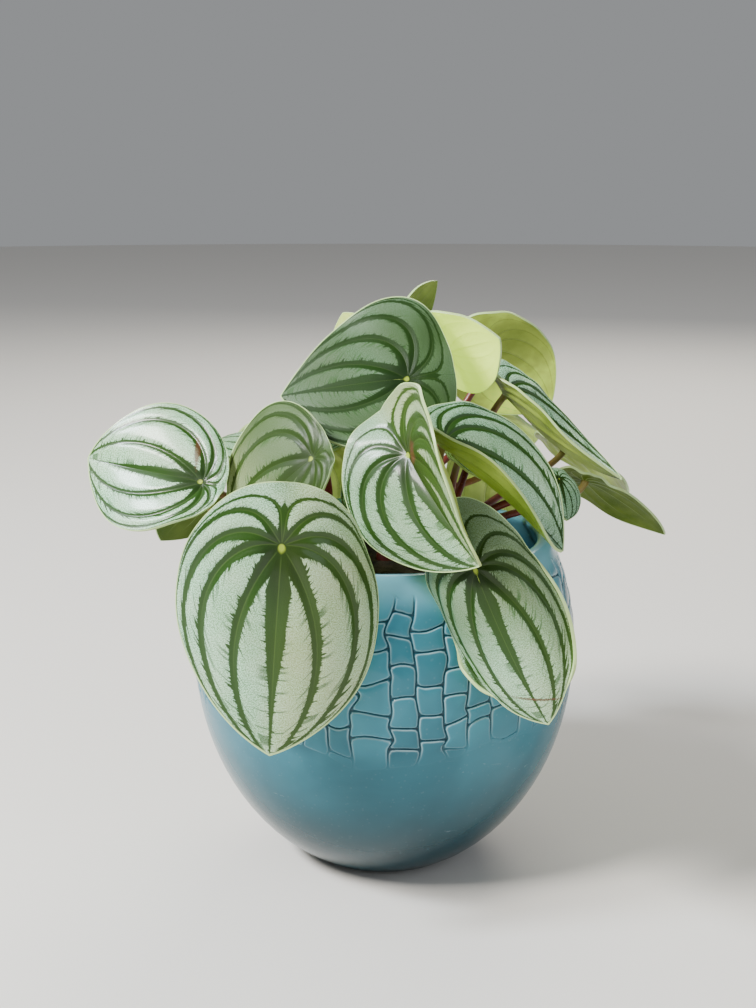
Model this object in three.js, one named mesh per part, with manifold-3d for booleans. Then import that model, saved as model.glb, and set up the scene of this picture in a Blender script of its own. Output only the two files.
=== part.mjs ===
// A watermelon peperomia in a round glazed pot. Millimetres, +Z up, the pot's foot centred on the origin,
// and -Y towards the viewer.
import * as THREE from 'three';
import { mergeVertices } from 'three/addons/utils/BufferGeometryUtils.js';
import Module from 'manifold-3d';

const wasm = await Module();
wasm.setup();

// Pot: two half ellipsoids that meet at the widest ring, cut flat at the foot and open at the rim
const potRadius = 70;
const potWidestZ = 79;
const potLowerAxis = 86;
const potUpperAxis = 83;
const rimZ = 121.5;
const wall = 4.5;
const floorZ = 6;
const footEdge = 1.5; // height and width of the rounded edge around the foot
const rimShape = [[0.5, 0.4], [1.7, 0], [3.2, 0], [4.2, 0.6]]; // mm in from the lip and down from the rim
const innerHeights = [112, 100, 79, 50, 25, 12]; // of the rings down the inside
const floorInset = 7; // how far in from the lowest of those rings the floor's edge lies

// Relief: upright grooves with shorter grooves across between them, from under the rim to a wavy lower
// edge. The grooves across every second column of cells lie half a cell lower than those beside them.
const cellsAround = 44;
const cellRows = 6;
const reliefTopZ = 116.5;
const reliefLowZ = 62;
const reliefLowWave = 3;
const grooveHalfWidth = 1.1;
const grooveDepth = 0.55;
const cellLift = 0.2;
const lineShift = 0.22; // largest move of a whole upright groove, as a share of a cell's width
const sideShift = 0.09; // and of one of its corners
const grooveShift = 1.4; // largest move of a groove across, up or down
const heightShift = 1; // and of one of its ends
const lowerShares = [0.03, 0.1, 0.25, 0.5, 0.75, 1]; // heights of the smooth rings under the relief

// Soil
const soilZ = 106;
const soilCrown = 2.5; // how far the middle of the soil stands above its edge
const soilBumps = 1.2;
const soilShares = [0.8, 0.55, 0.3]; // radii of the rings on its top
const gap = 0.3; // between pieces that touch

// Crowns: short stems with the leaf stalks grown into them
const stemRadius = 5;
const stemSides = 12;
const stemFootZ = 94;
const stemTopZ = 111;
const stemShape = [
  [0, stemFootZ], [4, stemFootZ], [stemRadius, 97], [stemRadius, 107], [3, stemTopZ], [0, stemTopZ],
];
const stalkRadius = 1.5;
const stalkStartZ = 109;
const stalkLean = 4; // how far a stalk leans outwards as it leaves the stem
const stalkSteps = 8;
const stalkSides = 6;
const crowns = {
  crown_left: [-20, -14],
  crown_right: [20, -10],
  crown_back: [2, 22],
};

// Blades: the stalk meets the blade at its hub, and face gives the way that the upper side looks, as
// degrees to the right of the viewer and degrees above level. left and right are the half-widths,
// fullness says how near the tip each side is widest, and ratio is base length over tip length.
// droop and back bend the midrib down, twist turns the tip half, fold and curl raise each side.
const bladeThickness = 0.9;
const stalkGap = 0.5;
const edgeRise = 0.42; // power of the outline at the blade's base
const edgeFall = 0.9; // and at its tip
const smallLength = 30; // blades whose tip is nearer than this get the small mesh
const smallMesh = { rings: 2, steps: 8 };
const largeMesh = { rings: 3, steps: 12 };
const commonBlade = {
  leftFullness: 2.2, rightFullness: 2.2, ratio: 0.3, droop: 20, back: 12, twist: 0,
  leftFold: 0, leftCurl: -15, rightFold: 0, rightCurl: -15, neck: 16, rise: 26, sag: 0,
};
const blades = {
  front: {
    crown: 'crown_left', hub: [-32, -84, 138], tip: [-38, -84, 69], face: [5, 12], left: 37, right: 34,
    leftFullness: 2.8, rightFullness: 2.1, ratio: 0.29, droop: 10, back: 5, twist: -11,
    leftCurl: -55, rightCurl: -28, neck: 30, rise: 18, sag: 9,
  },
  left: {
    crown: 'crown_left', hub: [-62, -36, 148], tip: [-104, -18, 150], face: [-10, 37], left: 22, right: 26,
    leftFullness: 3, rightFullness: 2.4, ratio: 0.18, back: 10, twist: 20,
    leftFold: 9, leftCurl: -5, rightFold: 11, rightCurl: -28,
  },
  inner_left: {
    crown: 'crown_left', hub: [-24, -50, 159], tip: [-52, -36, 127], face: [-14, 43], left: 16, right: 31,
    leftFullness: 2.3, rightFullness: 1.3, ratio: 0.18, twist: 6,
    leftCurl: -14, rightFold: 9, rightCurl: -24, neck: 14,
  },
  top: {
    crown: 'crown_back', hub: [8, -20, 181], tip: [-36, -20, 175], face: [-13, 25], left: 28, right: 31,
    leftFullness: 2, rightFullness: 0.9, ratio: 0.38, droop: 10, twist: -6,
    leftFold: 3, leftCurl: 12, rightFold: -10, rightCurl: 15,
  },
  centre: {
    crown: 'crown_right', hub: [7, -64, 163], tip: [28, -90, 132], face: [-25, 25], left: 26, right: 28,
    leftFullness: 1.9, rightFullness: 2.5, ratio: 0.46, droop: 10, back: 15, twist: -30,
    leftFold: 36, leftCurl: 26, rightCurl: -13,
  },
  right_mid: {
    crown: 'crown_right', hub: [20, -42, 163], tip: [60, -50, 128], face: [9, 42], left: 25, right: 22,
    leftFullness: 2.1, rightFullness: 2, ratio: 0.25, droop: 16, back: 15, twist: 4,
    leftFold: -4, leftCurl: -6, rightFold: 36, rightCurl: 70,
  },
  right_low: {
    crown: 'crown_right', hub: [28, -82, 130], tip: [51, -86, 80], face: [-27, 14], left: 22, right: 26,
    leftFullness: 3.4, rightFullness: 2.6, ratio: 0.42, back: 8, twist: -6,
    leftFold: -4, leftCurl: -58, rightFold: -4, rightCurl: -52, neck: 18,
  },
  right_up: {
    crown: 'crown_right', hub: [45, 10, 171], tip: [82, -16, 143], face: [30, 38], left: 14, right: 20,
    leftFullness: 1.8, rightFullness: 1.8, ratio: 0.27, droop: -40, back: 8, twist: 10,
    leftFold: 10, leftCurl: -5, rightFold: 45, rightCurl: 30,
  },
  back_pale: {
    crown: 'crown_back', hub: [40, 40, 184], tip: [65, 50, 158], face: [172, 5], left: 22, right: 20,
    ratio: 0.5, droop: 25, leftCurl: -20, rightCurl: -20,
  },
  back_bright: {
    crown: 'crown_back', hub: [23, 5, 187], tip: [40, -14, 194], face: [186, 8], left: 18, right: 18,
    leftFullness: 1.6, rightFullness: 1.6, ratio: 0.35, droop: 10,
  },
  back_tip: {
    crown: 'crown_back', hub: [9, 48, 193], tip: [21, 60, 208], face: [190, 25], left: 7, right: 7,
    droop: 10, leftCurl: -10, rightCurl: -10, neck: 30, rise: 60,
  },
  back_small: {
    crown: 'crown_back', hub: [-11, 22, 185], tip: [-15, 34, 198], face: [175, 25], left: 9, right: 9,
    ratio: 0.2, droop: 10, leftCurl: -10, rightCurl: -10, neck: 22,
  },
  left_behind: {
    crown: 'crown_left', hub: [-30, -24, 162], tip: [-49, -12, 146], face: [-20, 45], left: 16, right: 17,
  },
  left_dark: {
    crown: 'crown_left', hub: [-42, 8, 150], tip: [-62, 16, 152], face: [-30, 65], left: 13, right: 13,
  },
  left_olive: {
    crown: 'crown_left', hub: [-63, -17, 138], tip: [-80, -14, 122], face: [-150, 30], left: 14, right: 14,
  },
  right_olive: {
    crown: 'crown_right', hub: [76, 20, 137], tip: [108, 26, 114], face: [150, 50], left: 12, right: 9,
    droop: 15,
  },
  right_dark: {
    crown: 'crown_right', hub: [62, -12, 144], tip: [64, -22, 131], face: [35, 20], left: 9, right: 9,
    droop: 15,
  },
  middle_left: {
    crown: 'crown_back', hub: [-12, 2, 162], tip: [-31, 4, 150], face: [-50, 65], left: 13, right: 13,
    droop: 25,
  },
  middle_right: {
    crown: 'crown_right', hub: [28, -8, 154], tip: [48, -8, 142], face: [50, 65], left: 13, right: 13,
    droop: 25,
  },
  young: {
    crown: 'crown_left', hub: [-11, -16, 143], tip: [-12, -24, 134], face: [-10, 30], left: 4, right: 4,
    droop: 15, leftCurl: 10, rightCurl: 10, neck: 8, rise: 10,
  },
  far_left: {
    crown: 'crown_left', hub: [-58, 30, 148], tip: [-90, 46, 126], face: [-115, 50], left: 22, right: 22,
    leftFullness: 2.4, droop: 25,
  },
  far_low_left: {
    crown: 'crown_left', hub: [-34, 68, 138], tip: [-44, 88, 80], face: [-160, 20], left: 27, right: 27,
    leftFullness: 2.6, rightFullness: 2.4, droop: 15, back: 8,
  },
  far_middle: {
    crown: 'crown_back', hub: [6, 64, 154], tip: [10, 100, 124], face: [180, 45], left: 25, right: 25,
    leftFullness: 2.4, rightFullness: 2.4, droop: 25,
  },
  far_low_right: {
    crown: 'crown_back', hub: [45, 68, 132], tip: [60, 86, 76], face: [145, 18], left: 26, right: 26,
    leftFullness: 2.6, rightFullness: 2.4, droop: 15, back: 8,
  },
  far_upper_left: {
    crown: 'crown_left', hub: [-33, 37, 165], tip: [-56, 57, 144], face: [-120, 50], left: 20, right: 20,
    leftFullness: 2.4, rightFullness: 2.4, droop: 25,
  },
  far_right: {
    crown: 'crown_right', hub: [72, 44, 146], tip: [96, 66, 120], face: [120, 45], left: 20, right: 20,
    leftFullness: 2.4, rightFullness: 2.4, droop: 25,
  },
  far_top: {
    crown: 'crown_back', hub: [-3, 39, 174], tip: [-2, 72, 163], face: [180, 65], left: 20, right: 19,
    leftFullness: 2.4, rightFullness: 2.4, droop: 30,
  },
  far_upper_right: {
    crown: 'crown_back', hub: [38, 62, 156], tip: [60, 86, 136], face: [150, 50], left: 18, right: 18,
    leftFullness: 2.4, rightFullness: 2.4, droop: 25,
  },
};

const glaze = new THREE.MeshStandardMaterial({ color: 0x5f9aa8, roughness: 0.3, metalness: 0 });
const earth = new THREE.MeshStandardMaterial({ color: 0x2a221b, roughness: 0.95, metalness: 0 });
const stalkSkin = new THREE.MeshStandardMaterial({ color: 0x8a3b34, roughness: 0.5, metalness: 0 });
const bladeSkin = new THREE.MeshStandardMaterial({ color: 0x9fb48c, roughness: 0.4, metalness: 0 });
const paleSkin = new THREE.MeshStandardMaterial({ color: 0xa3bd5a, roughness: 0.45, metalness: 0 });

const group = new THREE.Group();

function addMesh(name, geometry, material) {
  const mesh = new THREE.Mesh(geometry, material);
  mesh.name = name;
  group.add(mesh);
}

// A repeatable draw between 0 and 1 for the pair (a, b)
function draw(a, b, salt) {
  const value = Math.sin(a * 12.9898 + b * 78.233 + salt * 37.719) * 43758.5453;
  return value - Math.floor(value);
}

const drawSigned = (a, b, salt) => 2 * draw(a, b, salt) - 1;

function indexedGeometry(points, triangles) {
  const geometry = new THREE.BufferGeometry();
  geometry.setAttribute('position', new THREE.Float32BufferAttribute(points.flat(), 3));
  geometry.setIndex(triangles.flat());
  return geometry;
}

function toSolid(geometry) {
  const bare = geometry.clone();
  bare.deleteAttribute('normal');
  bare.deleteAttribute('uv');
  const merged = mergeVertices(bare, 1e-4);
  return new wasm.Manifold(new wasm.Mesh({
    numProp: 3,
    vertProperties: new Float32Array(merged.attributes.position.array),
    triVerts: new Uint32Array(merged.index.array),
  }));
}

function toGeometry(solid) {
  const mesh = solid.getMesh();
  const geometry = new THREE.BufferGeometry();
  geometry.setAttribute('position', new THREE.BufferAttribute(mesh.vertProperties.slice(), 3));
  geometry.setIndex(new THREE.BufferAttribute(mesh.triVerts.slice(), 1));
  return geometry;
}

// A closed skin made of rings that all have one point for each cell around
class RingSkin {
  constructor() {
    this.points = [];
    this.triangles = [];
  }

  point(position) {
    return this.points.push(position) - 1;
  }

  ring(radius, z) {
    return Array.from({ length: cellsAround }, (_, i) => {
      const angle = (i / cellsAround) * 2 * Math.PI;
      return this.point([radius * Math.cos(angle), radius * Math.sin(angle), z]);
    });
  }

  // Joins two rings, the second further along a profile that runs up the outside and down the inside
  join(first, second) {
    first.forEach((a, i) => {
      const next = (i + 1) % first.length;
      this.triangles.push([a, first[next], second[next]], [a, second[next], second[i]]);
    });
  }

  joinAll(rings) {
    rings.slice(1).forEach((ring, i) => this.join(rings[i], ring));
  }

  openAt(z, ring) {
    const centre = this.point([0, 0, z]);
    ring.forEach((a, i) => this.triangles.push([centre, ring[(i + 1) % ring.length], a]));
  }

  closeAt(z, ring) {
    const centre = this.point([0, 0, z]);
    ring.forEach((a, i) => this.triangles.push([a, ring[(i + 1) % ring.length], centre]));
  }
}

// The pot's outer radius at a height
function potOuter(z) {
  const axis = z < potWidestZ ? potLowerAxis : potUpperAxis;
  return potRadius * Math.sqrt(1 - ((z - potWidestZ) / axis) ** 2);
}

// A point on the pot's outside, moved out along the surface's normal by lift
function potPoint(angle, z, lift) {
  const axis = z < potWidestZ ? potLowerAxis : potUpperAxis;
  const normal = new THREE.Vector2(potOuter(z) / potRadius ** 2, (z - potWidestZ) / axis ** 2).normalize();
  const radius = potOuter(z) + lift * normal.x;
  return [radius * Math.cos(angle), radius * Math.sin(angle), z + lift * normal.y];
}

// Where the grooves across a column of cells lie, counted in rows down from the top
function grooveLevels(column) {
  const rows = Array.from({ length: cellRows + 1 }, (_, row) => row);
  return column % 2 === 0 ? rows : [0, ...rows.slice(0, -1).map((row) => row + 0.5), cellRows];
}

// The corner where an upright groove meets a groove across at that level
function reliefCorner(line, level) {
  const wrapped = line % cellsAround;
  const step = level * 2;
  const column = (wrapped - ((wrapped + step) % 2) + cellsAround) % cellsAround; // of the groove across
  const side = lineShift * drawSigned(wrapped, 0, 1) + sideShift * drawSigned(wrapped, step, 2);
  const angle = ((line + side) / cellsAround) * 2 * Math.PI;
  const lowZ = reliefLowZ + reliefLowWave * (Math.sin(2 * angle + 1) + 0.6 * Math.sin(5 * angle));
  const evenZ = reliefTopZ + (lowZ - reliefTopZ) * (level / cellRows);
  const move = grooveShift * drawSigned(column, step, 3) + heightShift * drawSigned(wrapped, step, 4);
  return { angle, z: level === 0 ? evenZ : evenZ + move };
}

// Moves each corner of a counterclockwise cell inwards, in millimetres along the pot's skin
function insetCell(corners, distance) {
  const flat = corners.map(({ angle, z }) => new THREE.Vector2(angle * potRadius, z));
  return flat.map((corner, i) => {
    const before = corner.clone().sub(flat.at(i - 1)).normalize();
    const after = flat[(i + 1) % flat.length].clone().sub(corner).normalize();
    const inward = new THREE.Vector2(-before.y - after.y, before.x + after.x).normalize();
    const reach = distance / Math.max(0.6, inward.x * -before.y + inward.y * before.x);
    const moved = corner.clone().addScaledVector(inward, reach);
    return { angle: moved.x / potRadius, z: moved.y };
  });
}

function buildRelief(skin) {
  const known = new Map();
  const cornerPoint = ([line, level]) => {
    const key = `${line % cellsAround} ${level}`;
    if (!known.has(key)) {
      const { angle, z } = reliefCorner(line, level);
      known.set(key, skin.point(potPoint(angle, z, level === 0 ? 0 : -grooveDepth)));
    }
    return known.get(key);
  };
  const lines = Array.from({ length: cellsAround }, (_, line) => line);
  lines.forEach((column) => {
    const levels = grooveLevels(column);
    levels.slice(1).forEach((low, i) => {
      const high = levels[i];
      const between = grooveLevels(column + 1).filter((level) => level > high && level < low);
      const keys = [
        [column, low], [column + 1, low], ...between.map((level) => [column + 1, level]),
        [column + 1, high], [column, high], ...between.map((level) => [column, level]),
      ];
      const outer = keys.map(cornerPoint);
      const inner = insetCell(keys.map(([line, level]) => reliefCorner(line, level)), grooveHalfWidth)
        .map(({ angle, z }) => skin.point(potPoint(angle, z, cellLift)));
      outer.forEach((a, k) => {
        const next = (k + 1) % outer.length;
        skin.triangles.push([a, outer[next], inner[next]], [a, inner[next], inner[k]]);
      });
      for (let k = 1; k < inner.length - 1; k += 1) {
        skin.triangles.push([inner[0], inner[k], inner[k + 1]]);
      }
    });
  });
  return {
    low: lines.map((line) => cornerPoint([line, cellRows])),
    high: lines.map((line) => cornerPoint([line, 0])),
  };
}

function buildPot() {
  const skin = new RingSkin();
  const { low, high } = buildRelief(skin);
  const footRadius = potOuter(0);
  const foot = skin.ring(footRadius - footEdge, 0);
  skin.openAt(0, foot);
  const belowRelief = low.map((_, line) => {
    const { angle, z } = reliefCorner(line, cellRows);
    return { angle, z: z - grooveHalfWidth };
  });
  const lower = lowerShares.map((share) => belowRelief.map(({ angle, z }) => (
    skin.point(potPoint(angle, footEdge + share * (z - footEdge), 0)))));
  skin.joinAll([foot, ...lower, low]);
  const band = [reliefTopZ + grooveHalfWidth, rimZ - footEdge].map((z) => skin.ring(potOuter(z), z));
  const rim = rimShape.map(([inwards, down]) => skin.ring(potOuter(rimZ) - inwards, rimZ - down));
  const inside = innerHeights.map((z) => skin.ring(potOuter(z) - wall, z));
  const floorRing = skin.ring(potOuter(innerHeights.at(-1)) - wall - floorInset, floorZ);
  skin.joinAll([high, ...band, ...rim, ...inside, floorRing]);
  skin.closeAt(floorZ, floorRing);
  addMesh('pot', indexedGeometry(skin.points, skin.triangles), glaze);
}

// The hole that a stem stands in: as deep as the stem, a gap wider, and open at the top
function stemHole([x, y]) {
  const height = stemTopZ - stemFootZ + gap;
  const hole = new THREE.CylinderGeometry(stemRadius + gap, stemRadius + gap, height, stemSides);
  hole.rotateX(Math.PI / 2);
  hole.translate(x, y, stemTopZ - height / 2);
  return toSolid(hole);
}

function buildSoil() {
  const skin = new RingSkin();
  const fill = (z) => potOuter(z) - wall - gap;
  const topZ = soilZ - soilCrown;
  const heights = innerHeights.filter((z) => z < topZ).reverse();
  const bottom = skin.ring(fill(heights[0]) - floorInset, floorZ + gap);
  skin.openAt(floorZ + gap, bottom);
  const sides = heights.map((z) => skin.ring(fill(z), z + gap));
  const edge = skin.ring(fill(topZ) - gap, topZ);
  const surface = soilShares.map((share, level) => (
    skin.ring(fill(topZ) * share, 0).map((index, i) => {
      const mound = topZ + soilCrown * (1 - share ** 2);
      skin.points[index][2] = mound + soilBumps * drawSigned(i, level, 50);
      return index;
    })));
  skin.joinAll([bottom, ...sides, edge, ...surface]);
  skin.closeAt(soilZ, surface.at(-1));
  let soil = toSolid(indexedGeometry(skin.points, skin.triangles));
  Object.values(crowns).forEach((place) => {
    soil = soil.subtract(stemHole(place));
  });
  addMesh('soil', toGeometry(soil), earth);
}

// Half the blade's width at a share of the way from its base to its tip
function halfWidth(share, width, fullness) {
  const peak = edgeRise / (edgeRise + edgeFall * fullness);
  const most = peak ** (edgeRise / fullness) * (1 - peak) ** edgeFall;
  return (width * share ** edgeRise * (1 - share ** fullness) ** edgeFall) / most;
}

// Where a line that starts at an angle and turns evenly has got to, as its run and its rise
function arc(start, turn, length) {
  const bend = Math.abs(turn) < 1e-6 ? 1e-6 : turn;
  const end = start + bend * length;
  return [(Math.sin(end) - Math.sin(start)) / bend, (Math.cos(start) - Math.cos(end)) / bend];
}

// Adds a blade's lengths and its axes at the hub to its named values
function withFrame(values) {
  const blade = { ...commonBlade, ...values };
  const hub = new THREE.Vector3(...blade.hub);
  const along = new THREE.Vector3(...blade.tip).sub(hub);
  const half = THREE.MathUtils.degToRad(blade.droop) / 2;
  const tipLength = (along.length() * half) / Math.sin(half);
  along.normalize();
  const [azimuth, elevation] = blade.face.map(THREE.MathUtils.degToRad);
  const up = new THREE.Vector3(
    Math.sin(azimuth) * Math.cos(elevation), -Math.cos(azimuth) * Math.cos(elevation), Math.sin(elevation));
  up.addScaledVector(along, -up.dot(along)).normalize();
  const lengthways = along.clone().multiplyScalar(Math.cos(half)).addScaledVector(up, Math.sin(half));
  const normal = up.clone().multiplyScalar(Math.cos(half)).addScaledVector(along, -Math.sin(half));
  const sideways = lengthways.clone().cross(normal);
  return { ...blade, hub, tipLength, baseLength: blade.ratio * tipLength, sideways, lengthways, normal };
}

// A point of the bent blade, from its place x across and y along the flat one
function bladePoint(blade, x, y) {
  const radians = THREE.MathUtils.degToRad;
  const droop = radians(blade.droop) / blade.tipLength;
  const back = radians(blade.back) / blade.baseLength;
  const [forward, forwardZ] = arc(0, -droop, Math.max(y, 0));
  const [backward, backwardZ] = arc(0, -back, Math.min(y, 0));
  const lean = -(droop * Math.max(y, 0) + back * Math.min(y, 0));
  const [fold, curl, width] = x >= 0
    ? [blade.rightFold, blade.rightCurl, blade.right]
    : [blade.leftFold, blade.leftCurl, blade.left];
  const [across, raised] = arc(radians(fold), radians(curl) / width, Math.abs(x));
  const alongY = forward + backward - Math.sin(lean) * raised;
  const upZ = forwardZ + backwardZ + Math.cos(lean) * raised;
  const twist = radians(blade.twist) * THREE.MathUtils.clamp(y / blade.tipLength, -1, 1);
  const sideX = Math.sign(x) * across;
  return blade.hub.clone()
    .addScaledVector(blade.sideways, sideX * Math.cos(twist) - upZ * Math.sin(twist))
    .addScaledVector(blade.lengthways, alongY)
    .addScaledVector(blade.normal, sideX * Math.sin(twist) + upZ * Math.cos(twist));
}

function bladeNormal(blade, x, y) {
  const step = 0.05;
  const across = bladePoint(blade, x + step, y).sub(bladePoint(blade, x - step, y));
  const along = bladePoint(blade, x, y + step).sub(bladePoint(blade, x, y - step));
  return across.cross(along).normalize();
}

// The flat blade's edge, from the base up the right side to the tip and back down the left
function bladeEdge(blade, steps) {
  const length = blade.baseLength + blade.tipLength;
  const sidePoints = Array.from({ length: steps + 1 }, (_, i) => (1 - Math.cos((Math.PI * i) / steps)) / 2);
  const place = (share, sign, width, fullness) => (
    [sign * halfWidth(share, width, fullness), share * length - blade.baseLength]);
  const right = sidePoints.map((share) => place(share, 1, blade.right, blade.rightFullness));
  const left = sidePoints.map((share) => place(share, -1, blade.left, blade.leftFullness));
  return [...right, ...left.slice(1, -1).reverse()];
}

// Rings of the edge shrunk towards the hub, the same on the upper and lower side
function buildBlade(name, values) {
  const blade = withFrame(values);
  const { rings, steps } = blade.tipLength < smallLength ? smallMesh : largeMesh;
  const edge = bladeEdge(blade, steps);
  const points = [];
  const triangles = [];
  const sides = [1, -1].map((sign) => {
    const add = (x, y) => {
      const lift = (sign * bladeThickness) / 2;
      const at = bladePoint(blade, x, y).addScaledVector(bladeNormal(blade, x, y), lift);
      return points.push(at.toArray()) - 1;
    };
    const hub = add(0, 0);
    const loops = Array.from({ length: rings }, (_, ring) => (
      edge.map(([x, y]) => add((x * (ring + 1)) / rings, (y * (ring + 1)) / rings))));
    return { hub, loops };
  });
  const face = (corners, sign) => triangles.push(sign > 0 ? corners : [...corners].reverse());
  sides.forEach(({ hub, loops }, side) => {
    const sign = side === 0 ? 1 : -1;
    loops[0].forEach((a, i) => face([hub, a, loops[0][(i + 1) % edge.length]], sign));
    for (let ring = 1; ring < rings; ring += 1) {
      loops[ring].forEach((a, i) => {
        const next = (i + 1) % edge.length;
        face([loops[ring - 1][i], a, loops[ring][next]], sign);
        face([loops[ring - 1][i], loops[ring][next], loops[ring - 1][next]], sign);
      });
    }
  });
  const [upper, lower] = sides.map(({ loops }) => loops.at(-1));
  upper.forEach((a, i) => {
    const next = (i + 1) % edge.length;
    triangles.push([a, lower[i], lower[next]], [a, lower[next], upper[next]]);
  });
  const pale = name.startsWith('back_');
  addMesh(`blade_${name}`, indexedGeometry(points, triangles), pale ? paleSkin : bladeSkin);
}

// A stalk from its crown's stem up and out, to just under the blade's hub
function buildStalk(values) {
  const blade = withFrame(values);
  const start = new THREE.Vector3(...crowns[values.crown], stalkStartZ);
  const outward = blade.hub.clone().sub(start).setZ(0).normalize();
  const leaving = start.clone().addScaledVector(outward, stalkLean).add(new THREE.Vector3(0, 0, blade.rise));
  const neck = blade.hub.clone().addScaledVector(blade.normal, -blade.neck);
  neck.z -= blade.sag;
  const end = blade.hub.clone().addScaledVector(blade.normal, -bladeThickness / 2 - stalkGap);
  const round = new THREE.Shape().absarc(0, 0, stalkRadius, 0, 2 * Math.PI);
  return toSolid(new THREE.ExtrudeGeometry(round, {
    steps: stalkSteps,
    curveSegments: stalkSides / 2,
    extrudePath: new THREE.CubicBezierCurve3(start, leaving, neck, end),
  }));
}

function buildCrown(name, [x, y]) {
  const stem = new THREE.LatheGeometry(stemShape.map((point) => new THREE.Vector2(...point)), stemSides);
  stem.rotateX(Math.PI / 2);
  stem.translate(x, y, 0);
  const stalks = Object.values(blades).filter((blade) => blade.crown === name).map(buildStalk);
  const crown = stalks.reduce((whole, stalk) => whole.add(stalk), toSolid(stem));
  addMesh(name, toGeometry(crown), stalkSkin);
}

buildPot();
buildSoil();
Object.entries(crowns).forEach(([name, place]) => buildCrown(name, place));
Object.entries(blades).forEach(([name, values]) => buildBlade(name, values));

export default group;
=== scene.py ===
import math

import bmesh
import bpy
from mathutils import Matrix, Vector, noise


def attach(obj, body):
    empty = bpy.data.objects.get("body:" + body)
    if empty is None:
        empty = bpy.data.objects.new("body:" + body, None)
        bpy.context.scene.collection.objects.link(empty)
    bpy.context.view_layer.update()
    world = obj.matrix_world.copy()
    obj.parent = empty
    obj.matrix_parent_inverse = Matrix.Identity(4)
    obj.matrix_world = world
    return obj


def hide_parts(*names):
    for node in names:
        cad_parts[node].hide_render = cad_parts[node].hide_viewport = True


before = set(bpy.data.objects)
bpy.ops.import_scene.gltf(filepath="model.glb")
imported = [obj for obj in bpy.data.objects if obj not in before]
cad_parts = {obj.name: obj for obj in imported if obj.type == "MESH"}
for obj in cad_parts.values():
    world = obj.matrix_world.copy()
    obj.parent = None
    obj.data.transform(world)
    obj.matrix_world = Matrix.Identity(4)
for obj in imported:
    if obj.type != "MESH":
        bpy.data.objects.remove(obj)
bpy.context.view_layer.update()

mm = 0.001  # shapes are worked out in millimetres, as in the solids' source


def rgb(red, green, blue):  # sRGB from 0 to 255 as the linear colour that a node takes
    channels = [value / 255 for value in (red, green, blue)]
    linear = [c / 12.92 if c <= 0.04045 else ((c + 0.055) / 1.055) ** 2.4 for c in channels]
    return (*linear, 1)


def draw(a, b, salt):  # a repeatable draw between 0 and 1, the same as in the solids
    value = math.sin(a * 12.9898 + b * 78.233 + salt * 37.719) * 43758.5453
    return value - math.floor(value)


def drawSigned(a, b, salt):
    return 2 * draw(a, b, salt) - 1


def smooth(low, high, value):
    share = min(max((value - low) / (high - low), 0), 1)
    return share * share * (3 - 2 * share)


# node helpers

def addNode(tree, kind, **settings):
    node = tree.nodes.new(kind)
    for name, value in settings.items():
        setattr(node, name, value)
    return node


def plug(tree, value, socket):  # a socket is linked, anything else is set
    if isinstance(value, bpy.types.NodeSocket):
        tree.links.new(value, socket)
    elif value is not None:
        socket.default_value = value


def mathNode(tree, operation, a, b=None, c=None, clamp=False):
    node = addNode(tree, "ShaderNodeMath", operation=operation, use_clamp=clamp)
    for value, socket in zip((a, b, c), node.inputs):
        plug(tree, value, socket)
    return node.outputs[0]


def times(tree, a, b):
    return mathNode(tree, "MULTIPLY", a, b)


def timesPlus(tree, a, b, c, clamp=False):  # a times b, plus c
    return mathNode(tree, "MULTIPLY_ADD", a, b, c, clamp)


def minus(tree, a, b, clamp=False):
    return mathNode(tree, "SUBTRACT", a, b, clamp=clamp)


def absolute(tree, value):
    return mathNode(tree, "ABSOLUTE", value)


def step(tree, value, start, end):  # 0 at start, 1 at end, smooth between; start may be the larger one
    node = addNode(tree, "ShaderNodeMapRange", interpolation_type="SMOOTHSTEP")
    for part, socket in zip((value, start, end), node.inputs):
        plug(tree, part, socket)
    return node.outputs[0]


def mix(tree, factor, a, b):
    node = addNode(tree, "ShaderNodeMix", data_type="RGBA")
    plug(tree, factor, node.inputs["Factor"])
    plug(tree, a, node.inputs["A"])
    plug(tree, b, node.inputs["B"])
    return node.outputs["Result"]


def layered(tree, colour, masks, layers):  # colours laid over the first, each by its mask and its share
    for mask, share, over in layers:
        colour = mix(tree, times(tree, masks[mask], share), colour, rgb(*over))
    return colour


def summed(tree, start, masks, shares):  # a value to which each mask adds its share
    for mask, share in shares.items():
        start = timesPlus(tree, masks[mask], share, start)
    return start


def noiseAt(tree, vector, scale, detail=2, roughness=0.5, distortion=0):
    node = addNode(tree, "ShaderNodeTexNoise")
    plug(tree, vector, node.inputs["Vector"])
    values = {"Scale": scale, "Detail": detail, "Roughness": roughness, "Distortion": distortion}
    for name, value in values.items():
        plug(tree, value, node.inputs[name])
    return node.outputs["Fac"]


def combine(tree, x, y, z=0.0):
    node = addNode(tree, "ShaderNodeCombineXYZ")
    for value, socket in zip((x, y, z), node.inputs):
        plug(tree, value, socket)
    return node.outputs[0]


def split(tree, vector):
    node = addNode(tree, "ShaderNodeSeparateXYZ")
    plug(tree, vector, node.inputs[0])
    return node.outputs


def bump(tree, height, strength, distance):
    node = addNode(tree, "ShaderNodeBump")
    plug(tree, strength, node.inputs["Strength"])
    plug(tree, distance, node.inputs["Distance"])
    plug(tree, height, node.inputs["Height"])
    return node.outputs[0]


def objectPlace(tree):
    return addNode(tree, "ShaderNodeTexCoord").outputs["Object"]


def attribute(tree, name):
    return addNode(tree, "ShaderNodeAttribute", attribute_name=name).outputs["Fac"]


def uvPlace(tree, name):
    return addNode(tree, "ShaderNodeUVMap", uv_map=name).outputs[0]


def setSockets(tree, shader, **values):
    for name, value in values.items():
        plug(tree, value, shader.inputs[name.replace("_", " ")])


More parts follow.
